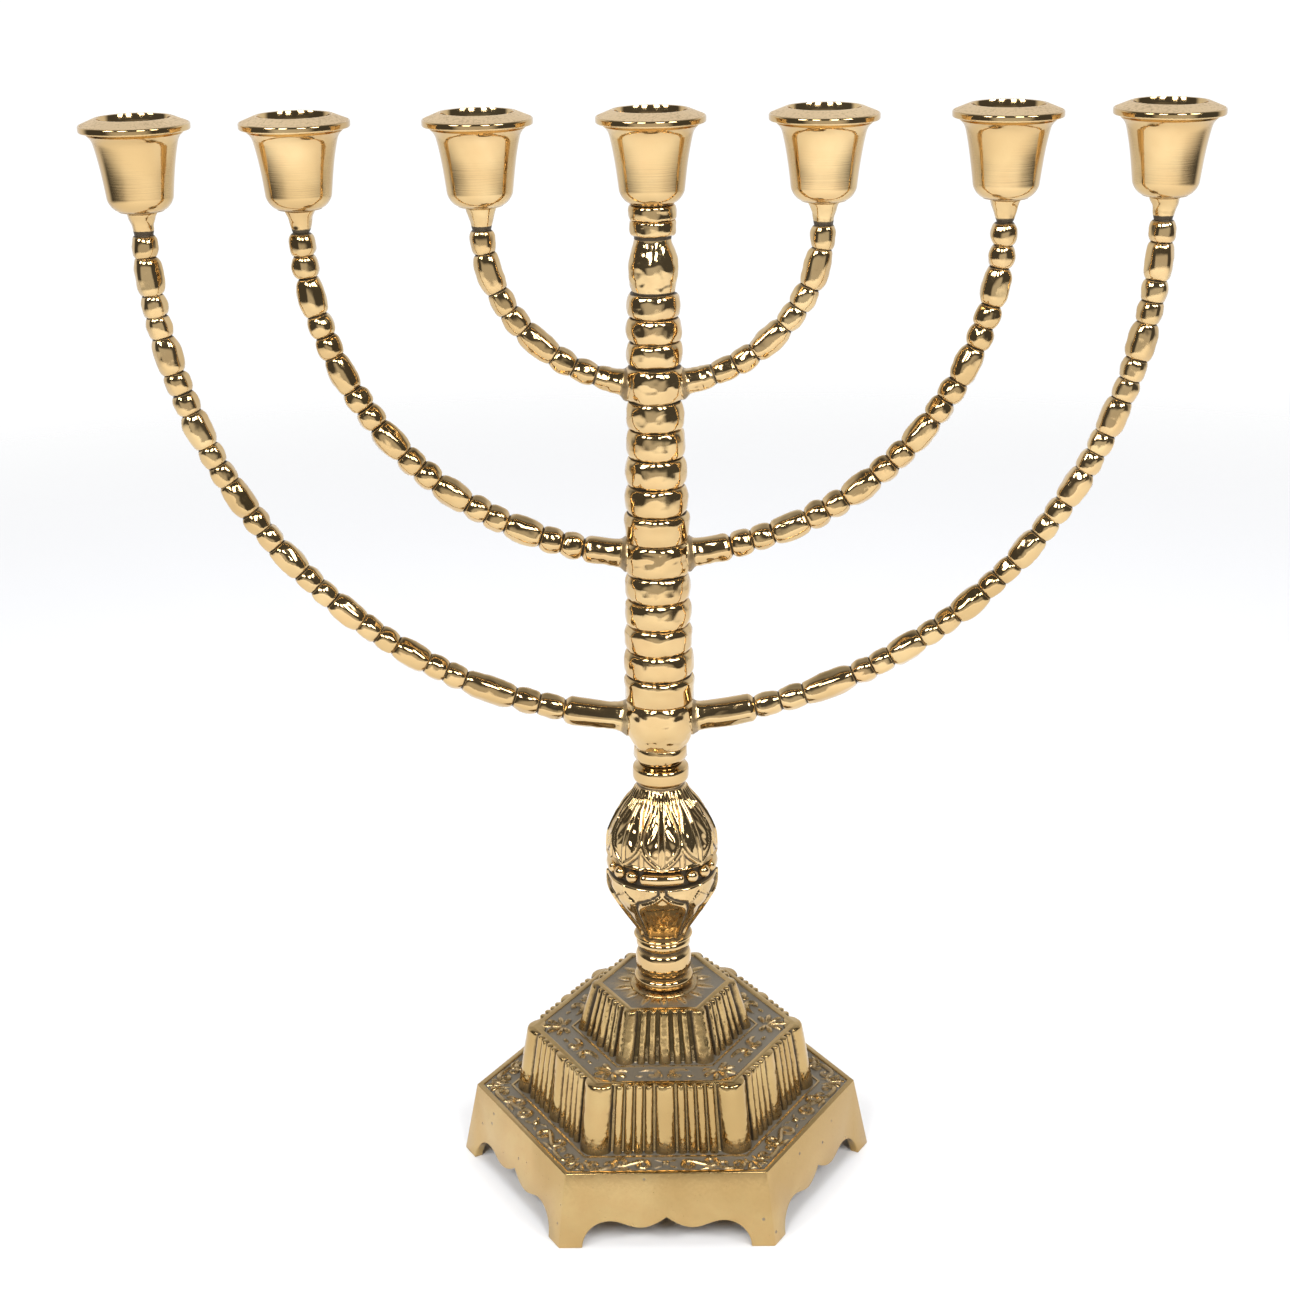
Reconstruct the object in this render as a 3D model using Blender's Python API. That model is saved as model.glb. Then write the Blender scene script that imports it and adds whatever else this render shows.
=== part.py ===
"""Seven-cup brass menorah: a hexagonal stepped foot, a baluster, three nested U-shaped
branch castings stacked on one tie rod, and seven candle cups screwed on by studs.

Lengths are millimetres, turned into metres by MM.  +Z is up, the stem's axis is X = Y = 0,
and the feet stand on Z = 0.  The branches lie in the XZ plane at rest.
"""
import math

import bmesh
import bpy
import numpy
from mathutils import Matrix

MM = 0.001
GAP = 0.3                   # between faces that seat on each other
ROUND_SIDES = 20            # cups, stems and hubs
BALUSTER_SIDES = 24
ARM_SIDES = 10
SMALL_SIDES = 8             # studs and rod

# Hexagonal foot: corner radii and heights of its three tiers
SKIRT_FOOT_R = 69.9
SKIRT_RIM_R = 64.8
SKIRT_HEIGHT = 25.1
MID_FOOT_R = 49.0
MID_RIM_R = 45.0
MID_HEIGHT = 22.6
TOP_FOOT_R = 28.3
TOP_RIM_R = 23.1
TOP_HEIGHT = 16.5
RIM_WIDTH = 1.9             # raised edge around each tier's sunk field
FIELD_DEPTH = 0.8
BASE_WALL = 3.0
DECK_THICKNESS = 2.6
BOSS_R = 11.4               # round pad that the baluster stands on

# Bracket-shaped lower edge of each skirt face
FOOT_WIDTH = 7.6
ARCH_HEIGHT = 8.9
LOBE_HEIGHT = 6.6
CUSP_HEIGHT = 10.1
ARCH_CROWN_X = 18.4
LOBE_X = 8.4

# Tie rod, nut and washer
ROD_R = 3.0
ROD_CLEARANCE = 0.4
ROD_TAIL = 3.5              # rod end below the nut
ROD_THREAD_LENGTH = 20.0    # rod end inside the inner branch
NUT_FLATS = 10.0
NUT_HEIGHT = 5.0
WASHER_R = 9.0
WASHER_THICKNESS = 1.6

# Baluster: upper collar, bulb and turned foot
BALUSTER_HEAD_LENGTH = 8.3
BALUSTER_BULB_LENGTH = 52.4
BALUSTER_FOOT_LENGTH = 19.8
BALUSTER_BELLY_R = 17.9
BALUSTER_BAND_R = 17.1
BALUSTER_COLLAR_R = 8.7
BALUSTER_NECK_R = 7.9

# Hubs and ringed stems
OUTER_HUB_LENGTH = 21.1
OUTER_HUB_R = 11.5
OUTER_HUB_SEAT_R = 8.5
MIDDLE_LENGTH = 42.7
MIDDLE_HUB_R = 10.9
MIDDLE_HUB_HEIGHT = 10.6
MIDDLE_RINGS = 5
MIDDLE_RING_R = (11.4, 10.4)        # lowest and highest ring
INNER_HUB_R = 9.4
INNER_HUB_HEIGHT = 11.0
INNER_LOWER_RINGS = 5
INNER_LOWER_RING_R = (10.3, 8.8)
INNER_LOWER_LENGTH = 44.7
INNER_UPPER_RINGS = 3
INNER_UPPER_RING_R = (8.7, 8.3)
INNER_UPPER_LENGTH = 22.4
RING_GROOVE = 0.95
VASE_LENGTH = 17.0
VASE_BELLY_R = 7.7
VASE_NECK_R = 5.6
CROWN_RING_R = (7.0, 7.25)
CROWN_RINGS = 2
CROWN_LENGTH = 9.6

# Arms: a quarter ellipse from the hub up to a straight, flared collar under the cup
INNER_SPAN = 51.3           # stem axis to the inner cups
MIDDLE_GAP = 54.2           # from there to the middle cups
OUTER_GAP = 47.5            # and on to the outer cups
OUTER_ARM_R = 4.1
MIDDLE_ARM_R = 3.9
INNER_ARM_R = 3.5
STUB_EXTRA_R = 0.5          # the plain stub beside the hub is thicker
STUB_LENGTH = 24.0
ARM_DROP = 0.6              # how far an arm's axis lies from the middle of its hub
ARM_ROOT_COVER = 2.6        # metal between the rod's bore and an arm's root
ARM_STEP = 11.0
COLLAR_R = 4.5
COLLAR_NECK_R = 3.0
COLLAR_LENGTH = 7.0

# Candle cups
CUP_COUNT = 7
CUP_HEIGHT = 25.7           # seat to rim edge
CUP_LIP_RISE = 1.9          # mouth lip above the rim edge
CUP_RIM_R = 16.5
CUP_RIM_BAND = 1.95
CUP_MOUTH_R = 11.0
CUP_SEAT_R = 6.8
CUP_WAIST_R = 10.0
CUP_WAIST_Z = 5.0
CUP_SIDE_SLOPE = 0.12
CUP_FLARE = 1.24
SOCKET_FLOOR_R = 8.8
SOCKET_FLOOR_Z = 6.0

# Studs that join cups to arms
STUD_R = 1.5
STUD_CLEARANCE = 0.3
STUD_IN_ARM = 6.0
STUD_IN_CUP = 4.7

BRASS = (0.60, 0.41, 0.15, 1.0)
DARK_BRASS = (0.36, 0.27, 0.13, 1.0)
STEEL = (0.42, 0.42, 0.43, 1.0)

# Heights that follow from the sizes above
SKIRT_FIELD_Z = SKIRT_HEIGHT - FIELD_DEPTH
MID_TOP_Z = SKIRT_HEIGHT + MID_HEIGHT
MID_FIELD_Z = MID_TOP_Z - FIELD_DEPTH
TOP_TOP_Z = MID_TOP_Z + TOP_HEIGHT
TOP_FIELD_Z = TOP_TOP_Z - FIELD_DEPTH
BOSS_BOTTOM_Z = TOP_FIELD_Z - DECK_THICKNESS - 0.5
BALUSTER_Z = TOP_TOP_Z + GAP
BALUSTER_BULB_Z = BALUSTER_Z + BALUSTER_FOOT_LENGTH
BALUSTER_HEAD_Z = BALUSTER_BULB_Z + BALUSTER_BULB_LENGTH
OUTER_Z = BALUSTER_HEAD_Z + BALUSTER_HEAD_LENGTH + GAP
MIDDLE_Z = OUTER_Z + OUTER_HUB_LENGTH + GAP
MIDDLE_HUB_Z = MIDDLE_Z + MIDDLE_LENGTH
INNER_Z = MIDDLE_HUB_Z + MIDDLE_HUB_HEIGHT + GAP
INNER_HUB_Z = INNER_Z + INNER_LOWER_LENGTH
INNER_UPPER_Z = INNER_HUB_Z + INNER_HUB_HEIGHT
VASE_Z = INNER_UPPER_Z + INNER_UPPER_LENGTH
CROWN_Z = VASE_Z + VASE_LENGTH
STEM_TOP_Z = CROWN_Z + CROWN_LENGTH
MIDDLE_SPAN = INNER_SPAN + MIDDLE_GAP
OUTER_SPAN = MIDDLE_SPAN + OUTER_GAP
CUP_Z = STEM_TOP_Z + GAP
WASHER_Z = BOSS_BOTTOM_Z - GAP - WASHER_THICKNESS
NUT_Z = WASHER_Z - GAP - NUT_HEIGHT
ROD_BOTTOM_Z = NUT_Z - ROD_TAIL
ROD_TOP_Z = INNER_Z + ROD_THREAD_LENGTH
BORE_R = ROD_R + ROD_CLEARANCE
ARM_ROOT = BORE_R + ARM_ROOT_COVER
STUD_HOLE_R = STUD_R + STUD_CLEARANCE
STUD_HOLE_DEPTH = STUD_IN_ARM + GAP


def clear_scene():
    """Start from an empty scene."""
    for item in list(bpy.data.objects):
        bpy.data.objects.remove(item, do_unlink=True)


def metal(name, colour, roughness):
    """A plain metallic material."""
    material = bpy.data.materials.new(name)
    material.use_nodes = True
    shader = material.node_tree.nodes["Principled BSDF"]
    shader.inputs["Base Color"].default_value = colour
    shader.inputs["Metallic"].default_value = 1.0
    shader.inputs["Roughness"].default_value = roughness
    return material


def add_object(name, mesh, material):
    """Link a mesh to the scene as one named, smooth-shaded object."""
    item = bpy.data.objects.new(name, mesh)
    bpy.context.scene.collection.objects.link(item)
    mesh.materials.append(material)
    mesh.shade_smooth()
    mesh.set_sharp_from_angle(angle=math.radians(35.0))
    return item


def turned_bmesh(outline, sides):
    """Spin an outline of (radius, height) points once round Z into a closed solid.

    The outline is either a loop round a bore, or runs from the axis back to the axis.
    """
    bm = bmesh.new()
    points = [bm.verts.new((radius * MM, 0.0, height * MM)) for radius, height in outline]
    pairs = list(zip(points, points[1:]))
    touches_axis = outline[0][0] == 0.0 and outline[-1][0] == 0.0
    if not touches_axis:
        pairs.append((points[-1], points[0]))
    edges = [bm.edges.new(pair) for pair in pairs]
    bmesh.ops.spin(bm, geom=points + edges, cent=(0.0, 0.0, 0.0), axis=(0.0, 0.0, 1.0),
                   angle=2.0 * math.pi, steps=sides, use_merge=True)
    bmesh.ops.remove_doubles(bm, verts=bm.verts, dist=0.00001)
    bmesh.ops.recalc_face_normals(bm, faces=bm.faces)
    return bm


def mesh_from(name, bm):
    """Turn a bmesh into mesh data."""
    mesh = bpy.data.meshes.new(name)
    bm.to_mesh(mesh)
    bm.free()
    return mesh


def turned(name, outline, sides, material):
    """A turned object on the stem's axis."""
    return add_object(name, mesh_from(name, turned_bmesh(outline, sides)), material)


def hide_as_helper(item):
    """Keep a cutter or a joined helper out of the model itself."""
    item.hide_render = True
    item.display_type = "WIRE"


def boolean(target, helper, operation):
    """Join or cut one object with a helper."""
    hide_as_helper(helper)
    modifier = target.modifiers.new(helper.name, "BOOLEAN")
    modifier.operation = operation
    modifier.solver = "EXACT"
    modifier.object = helper


def ring_stack(bottom, top, count, crest_radii):
    """Outline of count rounded rings from bottom up to top, crests easing between two radii."""
    pitch = (top - bottom) / count
    outline = []
    for index in range(count):
        share = index / max(count - 1, 1)
        crest = crest_radii[0] + (crest_radii[1] - crest_radii[0]) * share
        low = bottom + index * pitch
        outline.append((crest - RING_GROOVE, low))
        outline.append((crest, low + 0.28 * pitch))
        outline.append((crest, low + 0.72 * pitch))
    outline.append((crest - RING_GROOVE, top))
    return outline


def barrel(bottom, top, end_r, belly_r):
    """Outline of a hub that swells between two equal ends, without the ends themselves."""
    height = top - bottom
    return [((end_r + 2.0 * belly_r) / 3.0, bottom + 0.16 * height),
            (belly_r, bottom + 0.38 * height),
            (belly_r, bottom + 0.66 * height),
            ((end_r + 2.0 * belly_r) / 3.0, bottom + 0.86 * height)]


def skirt_edge():
    """Half of the bracket-shaped opening under one skirt face, from its foot to its cusp."""
    foot_x = SKIRT_FOOT_R / 2.0 - FOOT_WIDTH
    steps = 5
    outline = [(foot_x, -1.0)]
    for index in range(steps + 1):
        angle = math.radians(90.0 * index / steps)
        reach = (foot_x - ARCH_CROWN_X) * math.cos(angle)
        outline.append((ARCH_CROWN_X + reach, ARCH_HEIGHT * math.sin(angle)))
    for index in range(1, steps + 1):
        share = index / steps
        drop = (1.0 - math.cos(math.pi * share)) / 2.0
        outline.append((ARCH_CROWN_X + (LOBE_X - ARCH_CROWN_X) * share,
                        ARCH_HEIGHT + (LOBE_HEIGHT - ARCH_HEIGHT) * drop))
    outline.append((LOBE_X / 2.0, LOBE_HEIGHT + 0.3 * (CUSP_HEIGHT - LOBE_HEIGHT)))
    outline.append((0.0, CUSP_HEIGHT))
    return outline


def skirt_cutter(name, turn, material):
    """A prism of the bracket shape that runs through two opposite skirt faces."""
    half = skirt_edge()
    outline = half + [(-x, z) for x, z in reversed(half[:-1])]
    reach = SKIRT_FOOT_R * 1.2
    bm = bmesh.new()
    face = bm.faces.new([bm.verts.new((x * MM, -reach * MM, z * MM)) for x, z in outline])
    extruded = bmesh.ops.extrude_face_region(bm, geom=[face])
    moved = [part for part in extruded["geom"] if isinstance(part, bmesh.types.BMVert)]
    bmesh.ops.translate(bm, verts=moved, vec=(0.0, 2.0 * reach * MM, 0.0))
    bmesh.ops.triangulate(bm, faces=[f for f in bm.faces if len(f.verts) > 4])
    bmesh.ops.recalc_face_normals(bm, faces=bm.faces)
    bmesh.ops.rotate(bm, verts=bm.verts, cent=(0.0, 0.0, 0.0),
                     matrix=Matrix.Rotation(math.radians(turn), 3, "Z"))
    return add_object(name, mesh_from(name, bm), material)


def make_base(brass):
    """The hollow hexagonal casting of three tiers, open below, with bracket feet."""
    wall = BASE_WALL / math.cos(math.radians(30.0))
    rim = RIM_WIDTH / math.cos(math.radians(30.0))
    hole_r = BOSS_R * 0.7
    outside = [(hole_r, TOP_FIELD_Z), (TOP_RIM_R - rim, TOP_FIELD_Z), (TOP_RIM_R - rim, TOP_TOP_Z),
               (TOP_RIM_R, TOP_TOP_Z), (TOP_FOOT_R, MID_FIELD_Z),
               (MID_RIM_R - rim, MID_FIELD_Z), (MID_RIM_R - rim, MID_TOP_Z),
               (MID_RIM_R, MID_TOP_Z), (MID_FOOT_R, SKIRT_FIELD_Z),
               (SKIRT_RIM_R - rim, SKIRT_FIELD_Z), (SKIRT_RIM_R - rim, SKIRT_HEIGHT),
               (SKIRT_RIM_R, SKIRT_HEIGHT), (SKIRT_FOOT_R, 0.0)]
    inside = [(SKIRT_FOOT_R - wall, 0.0), (SKIRT_RIM_R - wall, SKIRT_FIELD_Z - DECK_THICKNESS),
              (MID_FOOT_R - wall, SKIRT_FIELD_Z - DECK_THICKNESS),
              (MID_RIM_R - wall, MID_FIELD_Z - DECK_THICKNESS),
              (TOP_FOOT_R - wall, MID_FIELD_Z - DECK_THICKNESS),
              (TOP_RIM_R - wall, TOP_FIELD_Z - DECK_THICKNESS),
              (hole_r, TOP_FIELD_Z - DECK_THICKNESS)]
    base = turned("base", outside + inside, 6, brass)
    pad = [(BORE_R, TOP_TOP_Z), (BOSS_R, TOP_TOP_Z), (BOSS_R, BOSS_BOTTOM_Z), (BORE_R, BOSS_BOTTOM_Z)]
    boolean(base, turned("boss_pad", pad, ROUND_SIDES, brass), "UNION")
    for turn in (0.0, 60.0, 120.0):
        boolean(base, skirt_cutter(f"skirt_cut_{turn:.0f}", turn, brass), "DIFFERENCE")


def make_fastening(steel):
    """The tie rod, and the washer and nut that draw the stack down onto the foot."""
    rod = [(0.0, ROD_TOP_Z), (ROD_R, ROD_TOP_Z), (ROD_R, ROD_BOTTOM_Z), (0.0, ROD_BOTTOM_Z)]
    turned("tie_rod", rod, SMALL_SIDES, steel)
    washer_top = WASHER_Z + WASHER_THICKNESS
    washer = [(BORE_R, washer_top), (WASHER_R, washer_top), (WASHER_R, WASHER_Z), (BORE_R, WASHER_Z)]
    turned("base_washer", washer, ROUND_SIDES, steel)
    corner = NUT_FLATS / 2.0 / math.cos(math.radians(30.0))
    nut_top = NUT_Z + NUT_HEIGHT
    thread = (ROD_R + GAP) / math.cos(math.radians(30.0))
    nut = [(thread, nut_top), (corner, nut_top), (corner, NUT_Z), (thread, NUT_Z)]
    turned("base_nut", nut, 6, steel)


def along_z(bottom, length, shares):
    """Outline points from (radius, share of the length above the bottom) pairs."""
    return [(radius, bottom + share * length) for radius, share in shares]


def make_baluster(brass):
    """The bulb between the foot and the branches, with turned collars at both ends."""
    collar = BALUSTER_COLLAR_R
    neck = BALUSTER_NECK_R
    belly = BALUSTER_BELLY_R
    band = BALUSTER_BAND_R
    head = along_z(BALUSTER_HEAD_Z, BALUSTER_HEAD_LENGTH,
                   [(BORE_R, 1.0), (neck - 0.9, 1.0), (collar, 0.83), (collar, 0.23), (neck, 0.0)])
    bulb = along_z(BALUSTER_BULB_Z, BALUSTER_BULB_LENGTH,
                   [(neck + 0.6, 0.97), (0.66 * belly, 0.89), (0.86 * belly, 0.78), (0.96 * belly, 0.69),
                    (belly, 0.60), (belly, 0.555), (band, 0.54), (band, 0.40), (belly, 0.385),
                    (belly, 0.33), (0.93 * belly, 0.28), (0.75 * belly, 0.175), (0.52 * belly, 0.06)])
    foot = along_z(BALUSTER_Z, BALUSTER_FOOT_LENGTH,
                   [(neck, 1.0), (collar, 0.96), (collar, 0.79), (neck, 0.68), (collar - 0.5, 0.61),
                    (collar - 0.5, 0.28), (neck - 0.6, 0.22), (collar - 0.3, 0.17), (collar - 0.3, 0.0),
                    (BORE_R, 0.0)])
    turned("baluster", head + bulb + foot, BALUSTER_SIDES, brass)


def outer_stem_outline():
    """The outermost branch's hub: a plain barrel that tapers to a turned seat."""
    seat = OUTER_HUB_SEAT_R
    return along_z(OUTER_Z, OUTER_HUB_LENGTH,
                   [(BORE_R, 1.0), (OUTER_HUB_R - 0.7, 1.0), (OUTER_HUB_R, 0.81), (OUTER_HUB_R, 0.60),
                    (0.5 * (OUTER_HUB_R + seat), 0.38), (seat, 0.25), (seat, 0.10), (seat - 1.6, 0.0),
                    (BORE_R, 0.0)])


def middle_stem_outline():
    """The middle branch's hub on top of its rings."""
    top = MIDDLE_HUB_Z + MIDDLE_HUB_HEIGHT
    rings = ring_stack(MIDDLE_Z, MIDDLE_HUB_Z, MIDDLE_RINGS, MIDDLE_RING_R)
    hub = barrel(MIDDLE_HUB_Z, top, rings[-1][0], MIDDLE_HUB_R)
    return [(BORE_R, MIDDLE_Z)] + rings + hub + [(MIDDLE_HUB_R - 1.0, top), (BORE_R, top)]


def inner_stem_outline():
    """The innermost branch: lower rings, hub, upper rings, vase and two rings under the cup."""
    lower = ring_stack(INNER_Z, INNER_HUB_Z, INNER_LOWER_RINGS, INNER_LOWER_RING_R)
    hub = barrel(INNER_HUB_Z, INNER_UPPER_Z, lower[-1][0], INNER_HUB_R)
    upper = ring_stack(INNER_UPPER_Z, VASE_Z, INNER_UPPER_RINGS, INNER_UPPER_RING_R)
    vase = along_z(VASE_Z, VASE_LENGTH, [(VASE_BELLY_R, 0.30), (VASE_BELLY_R, 0.52), (VASE_NECK_R, 0.91)])
    crown = ring_stack(CROWN_Z, STEM_TOP_Z, CROWN_RINGS, CROWN_RING_R)
    rod_hole = [(0.0, ROD_TOP_Z + GAP), (BORE_R, ROD_TOP_Z + GAP), (BORE_R, INNER_Z)]
    stud_hole = [(STUD_HOLE_R, STEM_TOP_Z), (STUD_HOLE_R, STEM_TOP_Z - STUD_HOLE_DEPTH),
                 (0.0, STEM_TOP_Z - STUD_HOLE_DEPTH)]
    return rod_hole + lower + hub + upper + vase + crown + stud_hole


def arm_outline(radius, length):
    """Outline of a straight arm from its root to its tapped collar."""
    collar_foot = length - COLLAR_LENGTH
    stub_end = ARM_ROOT + STUB_LENGTH
    bar_end = collar_foot - COLLAR_LENGTH
    count = max(2, round((bar_end - stub_end) / ARM_STEP))
    bar = [(radius, stub_end + (bar_end - stub_end) * index / count) for index in range(count + 1)]
    stub = [(radius + STUB_EXTRA_R, ARM_ROOT), (radius + STUB_EXTRA_R, ARM_ROOT + STUB_LENGTH / 2.0)]
    collar = [(COLLAR_NECK_R, collar_foot), (COLLAR_R, length)]
    hole = [(STUD_HOLE_R, length), (STUD_HOLE_R, length - STUD_HOLE_DEPTH), (0.0, length - STUD_HOLE_DEPTH)]
    return [(0.0, ARM_ROOT)] + stub + bar + collar + hole


def bend_path(span, rise):
    """Angles and arc lengths of a quarter ellipse, as two matching series."""
    angles = numpy.linspace(0.0, 0.5 * math.pi, 181)
    steps = numpy.hypot(span * numpy.diff(numpy.sin(angles)), rise * numpy.diff(numpy.cos(angles)))
    return angles, numpy.concatenate(([0.0], numpy.cumsum(steps)))


def make_arm(name, side, span, radius, low, brass):
    """An arm turned straight, then bent along its quarter ellipse up to the cup."""
    rise = STEM_TOP_Z - COLLAR_LENGTH - low
    angles, lengths = bend_path(span, rise)
    bend = lengths[-1]
    bm = turned_bmesh(arm_outline(radius, bend + COLLAR_LENGTH), ARM_SIDES)
    for vert in bm.verts:
        inward, depth, along = vert.co / MM
        angle = float(numpy.interp(along, lengths, angles))
        slope = math.hypot(span * math.cos(angle), rise * math.sin(angle))
        reach = span * math.sin(angle) - inward * rise * math.sin(angle) / slope
        height = low + rise * (1.0 - math.cos(angle)) + inward * span * math.cos(angle) / slope
        height += max(along - bend, 0.0)
        vert.co = (side * reach * MM, depth * MM, height * MM)
    bmesh.ops.recalc_face_normals(bm, faces=bm.faces)
    return add_object(name, mesh_from(name, bm), brass)


def make_branch(name, outline, span, radius, low, brass):
    """One U-shaped casting: its ringed stem with an arm on each side."""
    stem = turned(name, outline, ROUND_SIDES, brass)
    for side, word in ((-1.0, "left"), (1.0, "right")):
        boolean(stem, make_arm(f"{name}_{word}", side, span, radius, low, brass), "UNION")


def cup_outline():
    """Cup outline from the socket floor over the lip and down to the stud hole."""
    rim_low = CUP_HEIGHT - CUP_RIM_BAND
    side_top = rim_low - 0.6
    side = []
    steps = 4
    for index in range(steps + 1):
        height = side_top + (CUP_WAIST_Z - side_top) * index / steps
        rise = height - CUP_WAIST_Z
        flare = CUP_FLARE * (rise / (rim_low - CUP_WAIST_Z)) ** 3
        side.append((CUP_WAIST_R + CUP_SIDE_SLOPE * rise + flare, height))
    return ([(0.0, SOCKET_FLOOR_Z), (SOCKET_FLOOR_R, SOCKET_FLOOR_Z),
             (CUP_MOUTH_R, CUP_HEIGHT + CUP_LIP_RISE), (CUP_RIM_R, CUP_HEIGHT), (CUP_RIM_R, rim_low)]
            + side + [(0.5 * (CUP_SEAT_R + CUP_WAIST_R) + 0.35, 0.33 * CUP_WAIST_Z), (CUP_SEAT_R, 0.0),
                      (STUD_HOLE_R, 0.0), (STUD_HOLE_R, STUD_IN_CUP + GAP), (0.0, STUD_IN_CUP + GAP)])


def make_cups(brass, steel):
    """Seven cups, left to right, each on its own stud; the copies share two meshes."""
    cup_mesh = mesh_from("cup", turned_bmesh(cup_outline(), ROUND_SIDES))
    stud_top = STUD_IN_CUP
    stud_low = -GAP - STUD_IN_ARM
    stud_outline = [(0.0, stud_top), (STUD_R, stud_top), (STUD_R, stud_low), (0.0, stud_low)]
    stud_mesh = mesh_from("stud", turned_bmesh(stud_outline, SMALL_SIDES))
    places = (-OUTER_SPAN, -MIDDLE_SPAN, -INNER_SPAN, 0.0, INNER_SPAN, MIDDLE_SPAN, OUTER_SPAN)
    for index in range(CUP_COUNT):
        stud = bpy.data.objects.new(f"stud_{index + 1}", stud_mesh)
        cup = bpy.data.objects.new(f"cup_{index + 1}", cup_mesh)
        for item in (stud, cup):
            item.location = (places[index] * MM, 0.0, CUP_Z * MM)
            bpy.context.scene.collection.objects.link(item)
    for mesh, material in ((cup_mesh, brass), (stud_mesh, steel)):
        mesh.materials.append(material)
        mesh.shade_smooth()
        mesh.set_sharp_from_angle(angle=math.radians(35.0))


def main():
    """Build the whole menorah."""
    clear_scene()
    cast_brass = metal("cast_brass", DARK_BRASS, 0.45)
    brass = metal("polished_brass", BRASS, 0.22)
    steel = metal("steel", STEEL, 0.4)
    make_base(cast_brass)
    make_fastening(steel)
    make_baluster(brass)
    outer_low = OUTER_Z + 0.70 * OUTER_HUB_LENGTH
    middle_low = MIDDLE_HUB_Z + 0.5 * MIDDLE_HUB_HEIGHT + ARM_DROP
    inner_low = INNER_HUB_Z + 0.5 * INNER_HUB_HEIGHT - ARM_DROP
    make_branch("outer_branch", outer_stem_outline(), OUTER_SPAN, OUTER_ARM_R, outer_low, brass)
    make_branch("middle_branch", middle_stem_outline(), MIDDLE_SPAN, MIDDLE_ARM_R, middle_low, brass)
    make_branch("inner_branch", inner_stem_outline(), INNER_SPAN, INNER_ARM_R, inner_low, brass)
    make_cups(brass, steel)


main()
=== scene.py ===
"""Looks for a seven-cup brass menorah, laid out as an add-on and run as a script.

The packed model is the frame. Each casting and turning gets its fine surface here.
Outlines are worked out in millimetres and scaled to metres when a piece is finished.
"""
import math

import bmesh
import bpy
from mathutils import Matrix, Vector, kdtree, noise


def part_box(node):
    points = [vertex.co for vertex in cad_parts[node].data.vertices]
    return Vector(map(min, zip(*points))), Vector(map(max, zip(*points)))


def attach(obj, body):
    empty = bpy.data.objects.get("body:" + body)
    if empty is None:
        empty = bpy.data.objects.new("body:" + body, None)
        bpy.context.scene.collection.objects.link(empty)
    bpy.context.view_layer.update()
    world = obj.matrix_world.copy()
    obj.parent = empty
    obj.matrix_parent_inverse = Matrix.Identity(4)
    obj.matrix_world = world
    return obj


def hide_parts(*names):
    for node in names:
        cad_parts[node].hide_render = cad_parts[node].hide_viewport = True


bl_info = {
    "name": "Brass menorah",
    "version": (1, 0, 0),
    "blender": (4, 5, 0),
    "location": "View3D > Sidebar > Menorah",
    "description": "Builds the fine surface of a seven-cup brass menorah round its packed frame",
    "category": "Object",
}

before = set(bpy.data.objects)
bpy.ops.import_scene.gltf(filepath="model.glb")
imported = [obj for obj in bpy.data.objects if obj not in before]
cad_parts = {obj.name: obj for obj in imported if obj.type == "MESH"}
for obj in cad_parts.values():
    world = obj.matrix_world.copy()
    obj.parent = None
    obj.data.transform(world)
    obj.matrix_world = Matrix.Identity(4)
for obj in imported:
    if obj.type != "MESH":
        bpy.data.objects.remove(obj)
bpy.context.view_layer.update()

MM = 0.001
MERGE = 0.002                # doubles closer than this, in millimetres, are one point
FACES = 6                    # sides of the foot
FLAT = math.cos(math.radians(30.0))
CUPS = 7
FRONT = -0.5 * math.pi       # the direction that the front faces


def low_mm(node):
    """Lowest corner of a node in millimetres."""
    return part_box(node)[0] / MM


def high_mm(node):
    """Highest corner of a node in millimetres."""
    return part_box(node)[1] / MM


def cup_x(number):
    """Distance of a cup's axis from the stem, in millimetres."""
    return 0.5 * (low_mm(f"cup_{number}").x + high_mm(f"cup_{number}").x)


# Heights and radii that the frame gives
FOOT_R = high_mm("base").x
BASE_TOP_Z = high_mm("base").z
BALUSTER_Z = low_mm("baluster").z
OUTER_Z = low_mm("outer_branch").z
MIDDLE_Z = low_mm("middle_branch").z
INNER_Z = low_mm("inner_branch").z
STEM_TOP_Z = high_mm("inner_branch").z
CUP_Z = low_mm("cup_4").z
CUP_TOP_Z = high_mm("cup_4").z
CUP_RIM_R = high_mm("cup_4").x
SEAM = MIDDLE_Z - 0.3

# Foot
SKIRT_RIM_R = 64.8
SKIRT_Z = 25.1
MID_FOOT_R = 49.0
MID_RIM_R = 45.0
MID_Z = 47.7
TOP_FOOT_R = 28.3
TOP_RIM_R = 23.1
RIM_WIDTH = 1.9
FIELD_DEPTH = 0.8
WALL = 3.0
BOSS_R = 11.4
BORE_R = 3.4
REED_SINK = 0.4             # how far the reeds' feet sink into a deck
REED_DROP = 0.15            # how far the reeds end below a rim

# Stem
OUTER_HUB_R = 11.5
OUTER_SEAT_R = 8.6
MIDDLE_HUB_Z = 209.4
INNER_HUB_Z = 265.0
INNER_UPPER_Z = 276.0
VASE_Z = 298.4
CROWN_Z = 315.4
COLLAR_LENGTH = 7.0
ROD_TOP_Z = high_mm("tie_rod").z


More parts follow.
